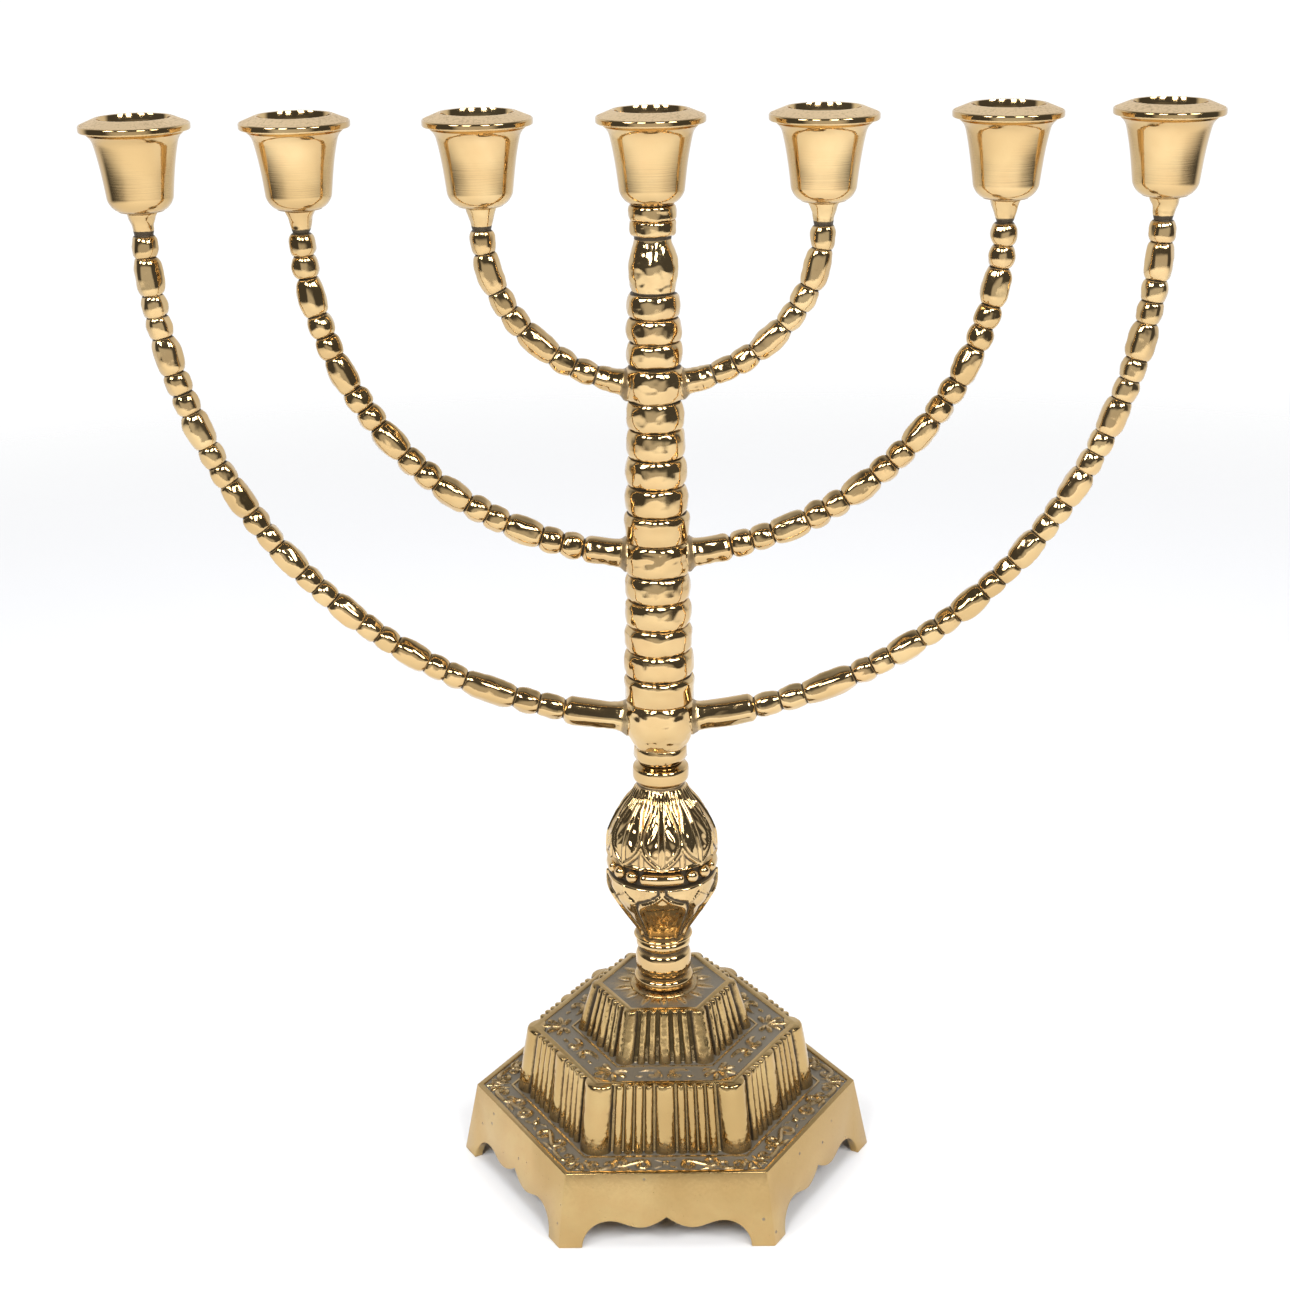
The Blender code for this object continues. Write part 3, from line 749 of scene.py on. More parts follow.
def skirt_strokes():
    """Scrolls on one side of the skirt's deck, as (along, across, thickness) points."""
    s_scroll = list(reversed(curl((7.6, 0.9), 2.6, 0.9, -90.0, -330.0))) \
        + curl((14.4, -0.9), 2.6, 0.9, 90.0, -330.0)
    c_scroll = list(reversed(curl((18.6, 0.6), 2.2, 0.8, 90.0, 300.0))) \
        + curl((23.4, 0.6), 2.4, 0.8, 90.0, -310.0)
    half = [
        swelling(s_scroll, 0.95, 0.75, 0.75),
        swelling(c_scroll, 0.85, 0.7, 0.7),
        swelling([(11.0, 3.3), (13.0, 2.7), (15.4, 3.2), (17.2, 2.2)], 0.85, 0.3, 0.2),
        swelling([(25.4, -3.0), (26.2, -1.2), (27.4, 0.2)], 0.8, 0.3, 0.25),
        swelling([(26.8, 3.4), (28.2, 2.2), (29.4, 2.6)], 0.8, 0.3, 0.25),
        swelling([(1.2, 1.1), (2.6, 2.2), (3.9, 2.3)], 0.8, 0.3, 0.2),
        swelling([(1.2, -1.1), (2.5, -2.2), (3.7, -2.2)], 0.8, 0.3, 0.2),
    ]
    return mirrored(half) + [swelling([(-0.9, 0.0), (0.0, 0.0), (0.9, 0.0)], 1.5, 0.9, 0.9)]


def middle_strokes():
    """Comma leaves on one side of the middle deck, and half palmettes at its corners."""
    leaf = list(reversed(curl((4.1, 0.4), 2.3, 0.8, -90.0, -300.0)))[2:] + [(6.6, -2.4), (8.6, -1.8)]
    half = [swelling(leaf, 1.15, 0.8, 0.25),
            swelling([(1.1, 2.6), (1.5, 1.2), (1.0, -0.3)], 0.9, 0.3, 0.3),
            swelling([(7.2, 1.0), (8.6, 1.7), (9.8, 1.0)], 0.95, 0.4, 0.25)]
    return mirrored(half)


def palmette_strokes(centre_r, length):
    """Petals that fan out from a corner of the border, in the plan's own x and y."""
    strokes = []
    for degrees, reach in ((0.0, 1.0), (32.0, 0.92), (-32.0, 0.92), (66.0, 0.82), (-66.0, 0.82),
                           (100.0, 0.66), (-100.0, 0.66)):
        angle = math.radians(degrees)
        points = []
        for share in (0.12, 0.4, 0.75, 1.0):
            radius = share * reach * length
            bow = angle * (1.0 + 0.12 * share)
            points.append((centre_r + radius * math.cos(bow), radius * math.sin(bow)))
        strokes.append([(*point, size) for point, size in zip(points, (0.35, 0.75, 1.15, 0.7))])
    return strokes


def ray_strokes(count, start_r, end_r):
    """Leaf rays on the top deck."""
    strokes = []
    for index in range(count):
        angle = 2.0 * math.pi * (index + 0.5) / count
        reach = end_r if index % 2 else 0.93 * end_r
        strokes.append([(radius * math.cos(angle), radius * math.sin(angle), size)
                        for radius, size in ((start_r, 1.1), (0.6 * start_r + 0.4 * reach, 1.7),
                                             (reach, 0.4))])
    return strokes


def relief(strokes, field_z, height):
    """Half-sunk rounded strokes on a deck, as closed shells."""
    curve = bpy.data.curves.new("relief", "CURVE")
    curve.dimensions = "3D"
    curve.bevel_depth = 1.0
    curve.bevel_resolution = 2
    curve.resolution_u = 3
    curve.use_fill_caps = True
    for stroke in strokes:
        spline = curve.splines.new("NURBS")
        spline.points.add(len(stroke) - 1)
        for point, (x, y, size) in zip(spline.points, stroke):
            point.co = (x, y, 0.0, 1.0)
            point.radius = 1.12 * size
        spline.order_u = 3
        spline.use_endpoint_u = True
    item = bpy.data.objects.new("relief", curve)
    bpy.context.scene.collection.objects.link(item)
    bm = applied_bmesh(item)
    bpy.data.curves.remove(curve)
    bmesh.ops.scale(bm, vec=(1.0, 1.0, height), verts=bm.verts)
    bmesh.ops.translate(bm, verts=bm.verts, vec=(0.0, 0.0, field_z - 0.12))
    return tidy(bm)


def side_relief(strokes, apothem, field_z, height):
    """Relief drawn along one side, repeated on all six."""
    placed = []
    for stroke in strokes:
        points = [face_point(0, along, across, apothem) for along, across, _ in stroke]
        placed.append([(point.x, point.y, size) for point, (_, _, size) in zip(points, stroke)])
    return turned_copies(relief(placed, field_z, height), FACES)


def boss():
    """The round pad that the baluster stands on, with its worn bead."""
    top = BASE_TOP_Z
    outline = [(BORE_R, top), (BOSS_R - 2.2, top)]
    outline += [(BOSS_R - 0.9 + 0.9 * math.cos(angle), top - 0.9 + 0.9 * math.sin(angle))
                for angle in (1.5, 1.2, 0.9, 0.6, 0.3, 0.0)]
    outline += [(BOSS_R + 0.2, top - 2.2), (BOSS_R, top - 3.9), (BORE_R, top - 3.9)]
    return turned(outline, 64)


def corner_radius(point):
    """Radius over corners of the hexagon through a point."""
    angle = math.atan2(point.y, point.x)
    across = math.cos((angle % math.radians(60.0)) - math.radians(30.0)) / FLAT
    return math.hypot(point.x, point.y) * across


def field_patina_and_shade(point):
    """Dark patina in the sunk fields with clean rims, fading out 0.62 mm above a field; low on the relief's
    strokes this darkening is painted shade.
    """
    fields = ((SKIRT_Z - FIELD_DEPTH, MID_FOOT_R, SKIRT_RIM_R),
              (MID_Z - FIELD_DEPTH, TOP_FOOT_R, MID_RIM_R),
              (BASE_TOP_Z - FIELD_DEPTH, 0.0, TOP_RIM_R))
    corner_r = corner_radius(point)
    for field_z, inner, outer in fields:
        if inner - 1.0 <= corner_r <= outer - 0.2 and field_z - 1.2 < point.z < field_z + 2.5:
            return 1.0 - ease(0.05, 0.62, point.z - field_z)
    return 0.0


def make_foot():
    """The foot casting with its reeds and relief."""
    sizes = bpy.context.scene.menorah_foot
    depth = sizes.reed_depth / MM
    height = sizes.relief_height / MM
    skirt_field, mid_field = SKIRT_Z - FIELD_DEPTH, MID_Z - FIELD_DEPTH
    top_field = BASE_TOP_Z - FIELD_DEPTH
    shell = stain(foot_shell(sizes.rim_bevel / MM), field_patina_and_shade)
    pad = stain(boss(), lambda point: 0.35)
    details = bmesh.new()
    merge_in(details, side_relief(skirt_strokes(), 0.5 * (52.5 + 62.8) * FLAT, skirt_field, height))
    merge_in(details, side_relief(middle_strokes(), 0.5 * (31.6 + 42.9) * FLAT, mid_field, height))
    petals = relief(palmette_strokes(34.2, 7.2), mid_field, height)
    merge_in(details, turned_copies(petals, FACES))
    shells = relief([[(x, y, 0.8 * size) for x, y, size in stroke]
                     for stroke in palmette_strokes(55.0, 6.4)[:5]], skirt_field, height)
    merge_in(details, turned_copies(shells, FACES))
    merge_in(details, relief(ray_strokes(14, BOSS_R + 0.4, 17.8), top_field, 0.6 * height))
    merge_in(details, border(52.7, 0.45, 0.9, skirt_field))
    merge_in(details, border(31.4, 0.45, 0.8, mid_field))
    # Relief strokes: a patina of 0.30 on their crests, and painted shade low on their sides near the field.
    stain(details, lambda point: max(field_patina_and_shade(point), 0.30))
    stain(details, lambda point: 0.15, "matte")
    reeds = tier_reeds(MID_FOOT_R, MID_RIM_R, skirt_field - REED_SINK, MID_Z - REED_DROP,
                       (5.7, 3.9), 6.8, 2.95, 4, depth)
    merge_in(reeds, tier_reeds(TOP_FOOT_R, TOP_RIM_R, mid_field - REED_SINK, BASE_TOP_Z - REED_DROP,
                               (3.5, 2.2), 4.2, 2.7, 2, 0.85 * depth))

    def reed_patina(point):
        """Grooves between reeds are dark, and pilaster feet are brown."""
        corner_r = corner_radius(point)
        middle = point.z < MID_Z + 0.2 and corner_r > TOP_FOOT_R + 3.0
        low_z, high_z, foot_r, rim_r = ((skirt_field, MID_Z, MID_FOOT_R, MID_RIM_R) if middle
                                        else (mid_field, BASE_TOP_Z, TOP_FOOT_R, TOP_RIM_R))
        share = min(max((point.z - low_z) / (high_z - low_z), 0.0), 1.0)
        wall = foot_r + (rim_r - foot_r) * share
        out = (corner_r - wall) * FLAT
        groove = 1.0 - ease(0.2, 0.8 * depth, out)
        foot = 0.55 * (1.0 - ease(0.03, 0.36, share))
        return max(groove, foot, 0.08) * (1.0 if share < 0.985 else 0.2)

    stain(reeds, reed_patina)
    shell = combined(shell, [pad], "UNION")
    pad.free()
    bmesh.ops.recalc_face_normals(shell, faces=shell.faces)
    for face in shell.faces:
        middle = face.calc_center_median()
        outward = face.normal.x * middle.x + face.normal.y * middle.y > 0.0
        on_skirt = math.hypot(middle.x, middle.y) > 0.99 * MID_FOOT_R and middle.z < SKIRT_Z + 0.1
        face.material_index = 1 if on_skirt and outward and face.normal.z < 0.9 else 0
    for face in reeds.faces:
        face.material_index = 2
    merge_in(shell, waver(details, 0.12, 1.6))
    merge_in(shell, waver(reeds, sizes.unevenness / MM, 2.2))
    bm = waver(shell, 0.8 * sizes.unevenness / MM, 14.0, (0.0,))
    add_piece("foot_casting", bm, "foot", "base",
              ["sand_cast_brass", "filed_brass", "reeded_brass"])


# ---------------------------------------------------------------- fasteners

def thread(radius, low, high, pitch, depth, sides=20):
    """A plain core with one helical ridge swept round it."""
    bm = turned([(0.0, high), (radius - depth - 0.25, high), (radius - depth, high - 0.25),
                 (radius - depth, low + 0.25), (radius - depth - 0.25, low), (0.0, low)], sides)
    ridge = bmesh.new()
    turns = (high - low - 1.6 * pitch) / pitch
    half = 0.42 * pitch
    start = low + 0.8 * pitch
    corners = [(radius - 1.3 * depth, start - half), (radius, start - 0.12 * pitch),
               (radius, start + 0.12 * pitch), (radius - 1.3 * depth, start + half)]
    verts = [ridge.verts.new((r, 0.0, z)) for r, z in corners]
    face = ridge.faces.new(verts)
    steps = int(turns * sides)
    bmesh.ops.spin(ridge, geom=[face], cent=(0.0, 0.0, 0.0), axis=(0.0, 0.0, 1.0),
                   dvec=(0.0, 0.0, pitch / sides), angle=2.0 * math.pi * steps / sides, steps=steps)
    bmesh.ops.recalc_face_normals(ridge, faces=ridge.faces)
    return merge_in(bm, ridge)


def make_tie_rod():
    """The rod that holds the stack together, threaded at both ends."""
    low, high = low_mm("tie_rod").z, ROD_TOP_Z
    radius = high_mm("tie_rod").y
    bottom_thread = 16.0
    top_thread = 18.0
    bm = turned([(0.0, high - top_thread + 1.0), (0.93 * radius, high - top_thread + 1.0),
                 (0.93 * radius, low + bottom_thread - 1.0), (0.0, low + bottom_thread - 1.0)], 32)
    merge_in(bm, thread(radius, low, low + bottom_thread, 1.0, 0.45))
    merge_in(bm, thread(radius, high - top_thread, high, 1.0, 0.45))
    stain(bm, lambda point: 0.0)
    add_piece("rod_threaded", bm, "foot", "tie_rod", ["fastener_steel"], sharp=30.0)


def make_nut():
    """The hexagon nut, chamfered at both ends."""
    low, high = low_mm("base_nut"), high_mm("base_nut")
    corner = high.x
    hole = high_mm("tie_rod").y + 0.1
    nut = turned([(hole, high.z), (corner, high.z), (corner, low.z), (hole, low.z)], FACES)
    cone = turned([(0.0, high.z + 0.01), (0.88 * corner, high.z + 0.01), (1.12 * corner, high.z - 1.2),
                   (1.12 * corner, low.z + 1.2), (0.88 * corner, low.z - 0.01), (0.0, low.z - 0.01)], 64)
    chamfered = combined(nut, [cone], "INTERSECT")
    nut.free()
    cone.free()
    tidy(chamfered)
    add_piece("nut_hexagon", chamfered, "foot", "base_nut", ["fastener_steel"], sharp=25.0)


def make_washer():
    """The flat washer, its edges rounded by stamping."""
    low, high = low_mm("base_washer"), high_mm("base_washer")
    hole = high_mm("tie_rod").y + 0.4
    edge = 0.35
    outline = [(hole + edge, high.z), (high.x - edge, high.z), (high.x, high.z - edge),
               (high.x, low.z + edge), (high.x - edge, low.z), (hole + edge, low.z),
               (hole, low.z + edge), (hole, high.z - edge)]
    bm = turned(outline, 72)
    add_piece("washer_flat", bm, "foot", "base_washer", ["fastener_steel"], sharp=25.0)


def make_studs():
    """The threaded studs between arms and cups."""
    for number in range(1, CUPS + 1):
        node = f"stud_{number}"
        radius = high_mm(node).y
        bm = thread(radius, low_mm(node).z, high_mm(node).z, 1.0, 0.3, sides=16)
        bmesh.ops.translate(bm, verts=bm.verts, vec=(cup_x(number), 0.0, 0.0))
        add_piece(f"{node}_threaded", bm, node, node, ["fastener_steel"], sharp=30.0)


# ---------------------------------------------------------------- baluster

BULB_LOW = 83.6
BAND_LOW, BAND_HIGH = 106.5, 112.7
LEAF_TIP_Z = 113.8
BULB_HIGH = 136.6


def bulb_outline():
    """Smooth side of the bulb from the neck down to the foot, with the sunk band."""
    upper = smooth_outline([(7.7, 137.3), (8.1, BULB_HIGH), (9.5, 133.6), (11.7, 130.8), (13.6, 127.9),
                            (15.3, 125.0), (16.6, 122.2), (17.5, 119.3), (17.75, 116.0),
                            (17.7, BAND_HIGH + 0.5)], steps=9)
    band = [(17.45, BAND_HIGH + 0.1), (16.1, BAND_HIGH - 0.25)]
    band += [(16.0, BAND_HIGH + (BAND_LOW - BAND_HIGH) * step / 8) for step in range(1, 8)]
    band += [(16.1, BAND_LOW + 0.25), (17.4, BAND_LOW - 0.1)]
    lower = smooth_outline([(17.7, BAND_LOW - 0.5), (17.7, 101.8), (16.6, 98.8), (14.9, 95.9), (13.0, 92.9),
                            (11.2, 90.0), (9.3, 87.0), (8.2, 84.6), (7.9, BULB_LOW)], steps=9)
    return upper + band + lower


def baluster_outline():
    """The whole baluster, from the collar's bore over the bulb down to the foot."""
    top = OUTER_Z - 0.3
    collar = [(BORE_R, top), (6.9, top), (7.5, top - 0.5)]
    collar += bead(top - 1.1, top - 6.2, 9.2, 8.3, steps=12, power=4.0)
    collar += [(7.7, top - 6.9), (7.5, top - 7.4)]
    roll = bead(BULB_LOW - 0.2, BULB_LOW - 1.9, 9.8, 8.2, steps=8, power=2.0)
    roll += [(9.0, BULB_LOW - 2.4), (9.0, BULB_LOW - 4.4), (7.8, BULB_LOW - 5.4), (7.4, BULB_LOW - 5.9)]
    ring = bead(77.4, 69.0, 9.3, 7.6, steps=14, power=3.2)
    seat = [(7.5, 68.8)] + bead(68.4, BALUSTER_Z + 0.2, 9.9, 8.4, steps=10, power=3.0)
    return collar + bulb_outline() + roll + ring + seat + [(7.6, BALUSTER_Z), (BORE_R, BALUSTER_Z)]


def graded(value, stops):
    """Value by straight lines between (place, value) stops in rising order of place."""
    if value <= stops[0][0]:
        return stops[0][1]
    for (start, first), (end, second) in zip(stops, stops[1:]):
        if value <= end:
            return first + (second - first) * (value - start) / (end - start)
    return stops[-1][1]


LEAF_HALF = ((LEAF_TIP_Z, 0.0), (114.7, 1.5), (115.9, 3.0), (117.3, 4.5), (119.0, 5.8), (121.0, 6.5),
             (123.0, 6.7), (125.5, 6.2), (128.0, 5.2), (131.0, 3.9), (134.0, 3.0), (137.0, 2.5))
PANEL_HALF = ((83.0, 4.3), (86.0, 4.8), (89.0, 5.4), (92.0, 6.1), (95.0, 6.9), (97.0, 7.4), (98.4, 7.5),
              (99.6, 7.1), (100.6, 6.0), (101.4, 4.4), (102.2, 2.8), (103.1, 1.4), (104.4, 0.0))


def slant(value, stops):
    """How much longer a line between stops is than its height, which narrows its distance."""
    slope = (graded(value + 0.1, stops) - graded(value - 0.1, stops)) / 0.2
    return math.hypot(1.0, slope)


def ridge_at(distance, half_width):
    """Height share of a rounded ridge at a distance from its line."""
    return math.exp(-(distance / half_width) ** 2)


def bulb_relief(angle, height, radius):
    """Raised height share and patina of the bulb's ornament at one point."""
    width = bpy.context.scene.menorah_baluster.ridge_width / MM
    turn = (angle - FRONT) % (2.0 * math.pi)
    if height > BAND_HIGH + 0.4:
        pitch = 0.25 * math.pi
        local = (turn + 0.5 * pitch) % pitch - 0.5 * pitch
        side = abs(local) * radius
        half = graded(height, LEAF_HALF)
        limit = 0.5 * pitch * radius
        fade = 1.0 - 0.25 * ease(127.0, 134.5, height) - 0.75 * ease(134.8, 137.2, height)
        gap = (side - half) / slant(height, LEAF_HALF)
        line = ridge_at(gap, width)
        second = ridge_at(gap + 1.45, 0.75 * width) * ease(LEAF_TIP_Z + 2.5, LEAF_TIP_Z + 5.0, height)
        rib = ridge_at(side, 0.8 * width)
        rib_groove = ridge_at(side - 0.95, 0.42 * width)
        edge_line = ridge_at(height - (BAND_HIGH + 0.9), 0.8 * width)
        raised_share = max(line, 0.75 * second, 0.9 * rib, edge_line)
        stained = 0.85 * rib_groove
        if side < half - 1.7:
            folds = 0.5 + 0.5 * math.sin(2.0 * math.pi * (height + 1.2 * side) / 4.2)
            raised_share = max(raised_share, 0.22 * folds * ease(0.8, 2.0, side))
        elif side > half + 0.6:
            between = ridge_at(limit - side, 0.8 * width)
            raised_share = max(raised_share, 0.8 * between)
            stained = max(stained, 0.22 * (1.0 - between), 0.8 * ridge_at(limit - side - 0.95, 0.5 * width))
        stained = max(stained, ridge_at(gap - 0.85, 0.75 * width), 0.8 * ridge_at(gap + 0.75, 0.6 * width))
        return fade * raised_share, fade * stained * (1.0 - 0.8 * raised_share)
    if height < BAND_LOW - 0.4:
        pitch = 0.5 * math.pi
        local = (turn + 0.5 * pitch) % pitch - 0.5 * pitch
        side = abs(local) * radius
        half = graded(height, PANEL_HALF)
        line = 1.15 * ridge_at((side - half) / slant(height, PANEL_HALF), 1.35 * width)
        edge_line = 0.35 * ridge_at(height - (BAND_LOW - 0.9), 0.8 * width)
        raised_share = max(line, edge_line)
        if side < half:
            return max(line, edge_line) - 0.7 * ease(0.5, 1.6, half - side), 0.30 * (1.0 - min(line, 1.0))
        other = abs(0.5 * pitch - abs(local)) * radius
        other_half = graded(height, tuple((z, 0.9 * share) for z, share in PANEL_HALF))
        behind = ridge_at(other - other_half, 0.9 * width)
        raised_share = max(raised_share, 0.8 * behind)
        beside = ridge_at((side - half) / slant(height, PANEL_HALF) - 1.3, 1.1 * width)
        raised_share -= 0.6 * beside
        inner = ridge_at(other - other_half + 0.95, 0.7 * width)
        stained = max(beside, 0.85 * inner, 0.25)
        return raised_share, stained * (1.0 - 0.85 * min(raised_share, 1.0))
    return 0.0, (1.0 if BAND_LOW - 0.1 < height < BAND_HIGH + 0.1 else 0.25)


def band_beads(radius):
    """Long bars and round beads in the belly's band, as closed shells."""
    ring_r = 16.55
    middle = 0.5 * (BAND_LOW + BAND_HIGH)
    curve = bpy.data.curves.new("bars", "CURVE")
    curve.dimensions = "3D"
    curve.bevel_depth = 0.98 * radius
    curve.bevel_resolution = 5
    curve.resolution_u = 6
    curve.use_fill_caps = True
    for quarter in range(4):
        spline = curve.splines.new("NURBS")
        steps = ((-24.6, 0.05), (-24.2, 0.55), (-22.5, 0.9), (-19.0, 1.0), (0.0, 1.0), (19.0, 1.0),
                 (22.5, 0.9), (24.2, 0.55), (24.6, 0.05))
        spline.points.add(len(steps) - 1)
        for point, (degrees, size) in zip(spline.points, steps):
            angle = FRONT + 0.5 * math.pi * quarter + math.radians(degrees)
            point.co = (ring_r * math.cos(angle), ring_r * math.sin(angle), middle, 1.0)
            point.radius = size
        spline.order_u = 3
        spline.use_endpoint_u = True
    item = bpy.data.objects.new("bars", curve)
    bpy.context.scene.collection.objects.link(item)
    bm = applied_bmesh(item)
    bpy.data.curves.remove(curve)
    tidy(bm)
    for quarter in range(4):
        for degrees in (35.5, 54.5):
            angle = FRONT + 0.5 * math.pi * quarter + math.radians(degrees)
            place = Matrix.Translation((ring_r * math.cos(angle), ring_r * math.sin(angle), middle))
            bmesh.ops.create_uvsphere(bm, u_segments=28, v_segments=16, radius=radius, matrix=place)
    return stain(bm, lambda point: 0.75 * (1.0 - ease(16.3, 17.3, math.hypot(point.x, point.y))))


def make_baluster():
    """The turned and chased baluster."""
    sizes = bpy.context.scene.menorah_baluster
    bm = turned(baluster_outline(), 300)
    layer = bm.verts.layers.float.new("patina")
    height_scale = sizes.ridge_height / MM
    moves = []
    for vert in bm.verts:
        radius = math.hypot(vert.co.x, vert.co.y)
        move = Vector((0.0, 0.0, 0.0))
        if BULB_LOW + 0.3 < vert.co.z < BULB_HIGH + 0.6 and radius > 7.0:
            share, stained = bulb_relief(math.atan2(vert.co.y, vert.co.x), vert.co.z, radius)
            facet = 0.42 * noise.noise(vert.co / 3.6) * (1.0 - abs(share)) * (1.0 - min(stained, 1.0))
            move = vert.normal * (height_scale * share + facet)
            vert[layer] = stained
        moves.append(move)
    for vert, move in zip(bm.verts, moves):
        vert.co += move
    grooves = ((BALUSTER_Z + 4.3, 0.5), (BULB_LOW - 6.0, 0.7), (BULB_LOW, 0.5), (OUTER_Z - 7.9, 0.5))
    for vert in bm.verts:
        for height, reach in grooves:
            if math.hypot(vert.co.x, vert.co.y) > 6.0:
                vert[layer] = max(vert[layer], 0.8 * ridge_at(vert.co.z - height, reach))
    waver(bm, 0.05, 3.0)
    merge_in(bm, band_beads(sizes.bead_radius / MM))
    add_piece("baluster_chased", bm, "foot", "baluster", ["hand_polished_brass"], sharp=60.0)


# ---------------------------------------------------------------- branches

def outer_stem():
    """Hub of the outermost branch, a plain barrel that tapers to a turned seat."""
    top = SEAM
    barrel = smooth_outline([(OUTER_HUB_R - 0.9, top - 0.3), (OUTER_HUB_R - 0.25, top - 2.0),
                             (OUTER_HUB_R, top - 5.2), (OUTER_HUB_R - 0.2, top - 8.6),
                             (OUTER_HUB_R - 1.2, top - 12.0), (OUTER_SEAT_R + 0.3, top - 14.8),
                             (OUTER_SEAT_R - 0.25, top - 15.6)], steps=8)
    seat = [(OUTER_SEAT_R, OUTER_Z + 5.1), (OUTER_SEAT_R, OUTER_Z + 1.9),
            (OUTER_SEAT_R - 0.35, OUTER_Z + 1.5), (OUTER_SEAT_R - 0.4, OUTER_Z + 1.1),
            (OUTER_SEAT_R - 1.0, OUTER_Z + 0.5), (7.2, OUTER_Z)]
    return [(BORE_R, top), (OUTER_HUB_R - 1.3, top)] + barrel + seat + [(BORE_R, OUTER_Z)]


def middle_stem(depth):
    """Rings and hub of the middle branch, from the bottom up."""
    top = INNER_Z - 0.3
    crest = 11.4
    pitch = (MIDDLE_HUB_Z - MIDDLE_Z) / 5
    first = [(crest - 0.6, MIDDLE_Z), (crest - 0.35, MIDDLE_Z + 0.25), (crest - 0.3, MIDDLE_Z + 4.0)]
    first += bead(MIDDLE_Z + 0.5 * pitch - 0.3, MIDDLE_Z + pitch, crest, crest - depth, steps=14)[5:]
    stack = rings(MIDDLE_Z + pitch, MIDDLE_HUB_Z, 4, (11.15, 10.4), depth)
    hub = smooth_outline([(10.4 - depth, MIDDLE_HUB_Z), (10.3, MIDDLE_HUB_Z + 1.0),
                          (10.9, MIDDLE_HUB_Z + 3.4), (11.0, MIDDLE_HUB_Z + 6.6),
                          (10.6, MIDDLE_HUB_Z + 9.3), (9.8, top)], steps=8)
    return [(BORE_R, MIDDLE_Z)] + first + stack + hub + [(BORE_R, top)]


def inner_stem(depth):
    """Rings, hub, vase and crown of the innermost branch, from the bottom up."""
    pitch = (INNER_HUB_Z - INNER_Z) / 5
    first = [(9.7, INNER_Z), (9.95, INNER_Z + 0.25), (10.0, INNER_Z + 3.4)]
    first += bead(INNER_Z + 0.5 * pitch - 0.3, INNER_Z + pitch, 10.3, 10.3 - depth, steps=14)[5:]
    lower = rings(INNER_Z + pitch, INNER_HUB_Z, 4, (10.0, 8.9), depth)
    hub = smooth_outline([(8.9 - depth, INNER_HUB_Z), (8.7, INNER_HUB_Z + 1.0),
                          (9.4, INNER_HUB_Z + 3.6), (9.5, INNER_HUB_Z + 6.6),
                          (8.8, INNER_HUB_Z + 9.8), (7.3, INNER_UPPER_Z)], steps=8)
    upper = rings(INNER_UPPER_Z, VASE_Z, 3, (8.75, 8.3), depth + 0.1)
    vase = smooth_outline([(6.6, VASE_Z + 0.1), (7.1, VASE_Z + 2.4), (7.65, VASE_Z + 6.0),
                           (7.7, VASE_Z + 9.0), (6.9, VASE_Z + 12.6), (5.8, VASE_Z + 15.6),
                           (5.65, CROWN_Z + 0.2)], steps=8)
    crown = []
    height = (STEM_TOP_Z - CROWN_Z - 0.6) / 2
    for index, crest in enumerate((7.05, 7.25)):
        low = CROWN_Z + 0.6 + index * height
        crown += bead(low, low + height, crest, crest - 0.9, steps=12, power=4.5)
    hole = [(1.8, STEM_TOP_Z), (1.8, STEM_TOP_Z - 6.3), (0.0, STEM_TOP_Z - 6.3)]
    rod_hole = [(0.0, ROD_TOP_Z + 0.3), (BORE_R, ROD_TOP_Z + 0.3), (BORE_R, INNER_Z)]
    return rod_hole + first + lower + hub + upper + vase + crown + hole


def bead_lengths(branch, free):
    """Lengths of an arm's beads from the stub up to the collar, scaled to fill the free length."""
    sizes = bpy.context.scene.menorah_branches
    short, long = sizes.short_bead / MM, sizes.long_bead / MM
    unit = [short, short, long]
    if branch == "outer":
        fixed = [8.3, 8.1, 17.0]
        moving = unit * 7 + [short]
    elif branch == "middle":
        fixed = []
        moving = unit * 5 + [short, short]
    else:
        fixed = []
        moving = unit * 2 + [short]
    scale = (free - sum(fixed)) / sum(moving)
    return fixed + [scale * length for length in moving]


ARMS = {
    "outer": {"hub_r": 11.2, "stub": 20.0, "stub_r": 4.6, "short_r": 3.95, "long_r": 4.3, "notch": 2.8,
              "root_r": 6.0},
    "middle": {"hub_r": 10.6, "stub": 13.0, "stub_r": 4.3, "short_r": 4.15, "long_r": 4.35, "notch": 2.55,
               "root_r": 6.0},
    "inner": {"hub_r": 9.1, "stub": 9.5, "stub_r": 3.75, "short_r": 3.75, "long_r": 4.0, "notch": 2.75,
              "root_r": 5.4},
}


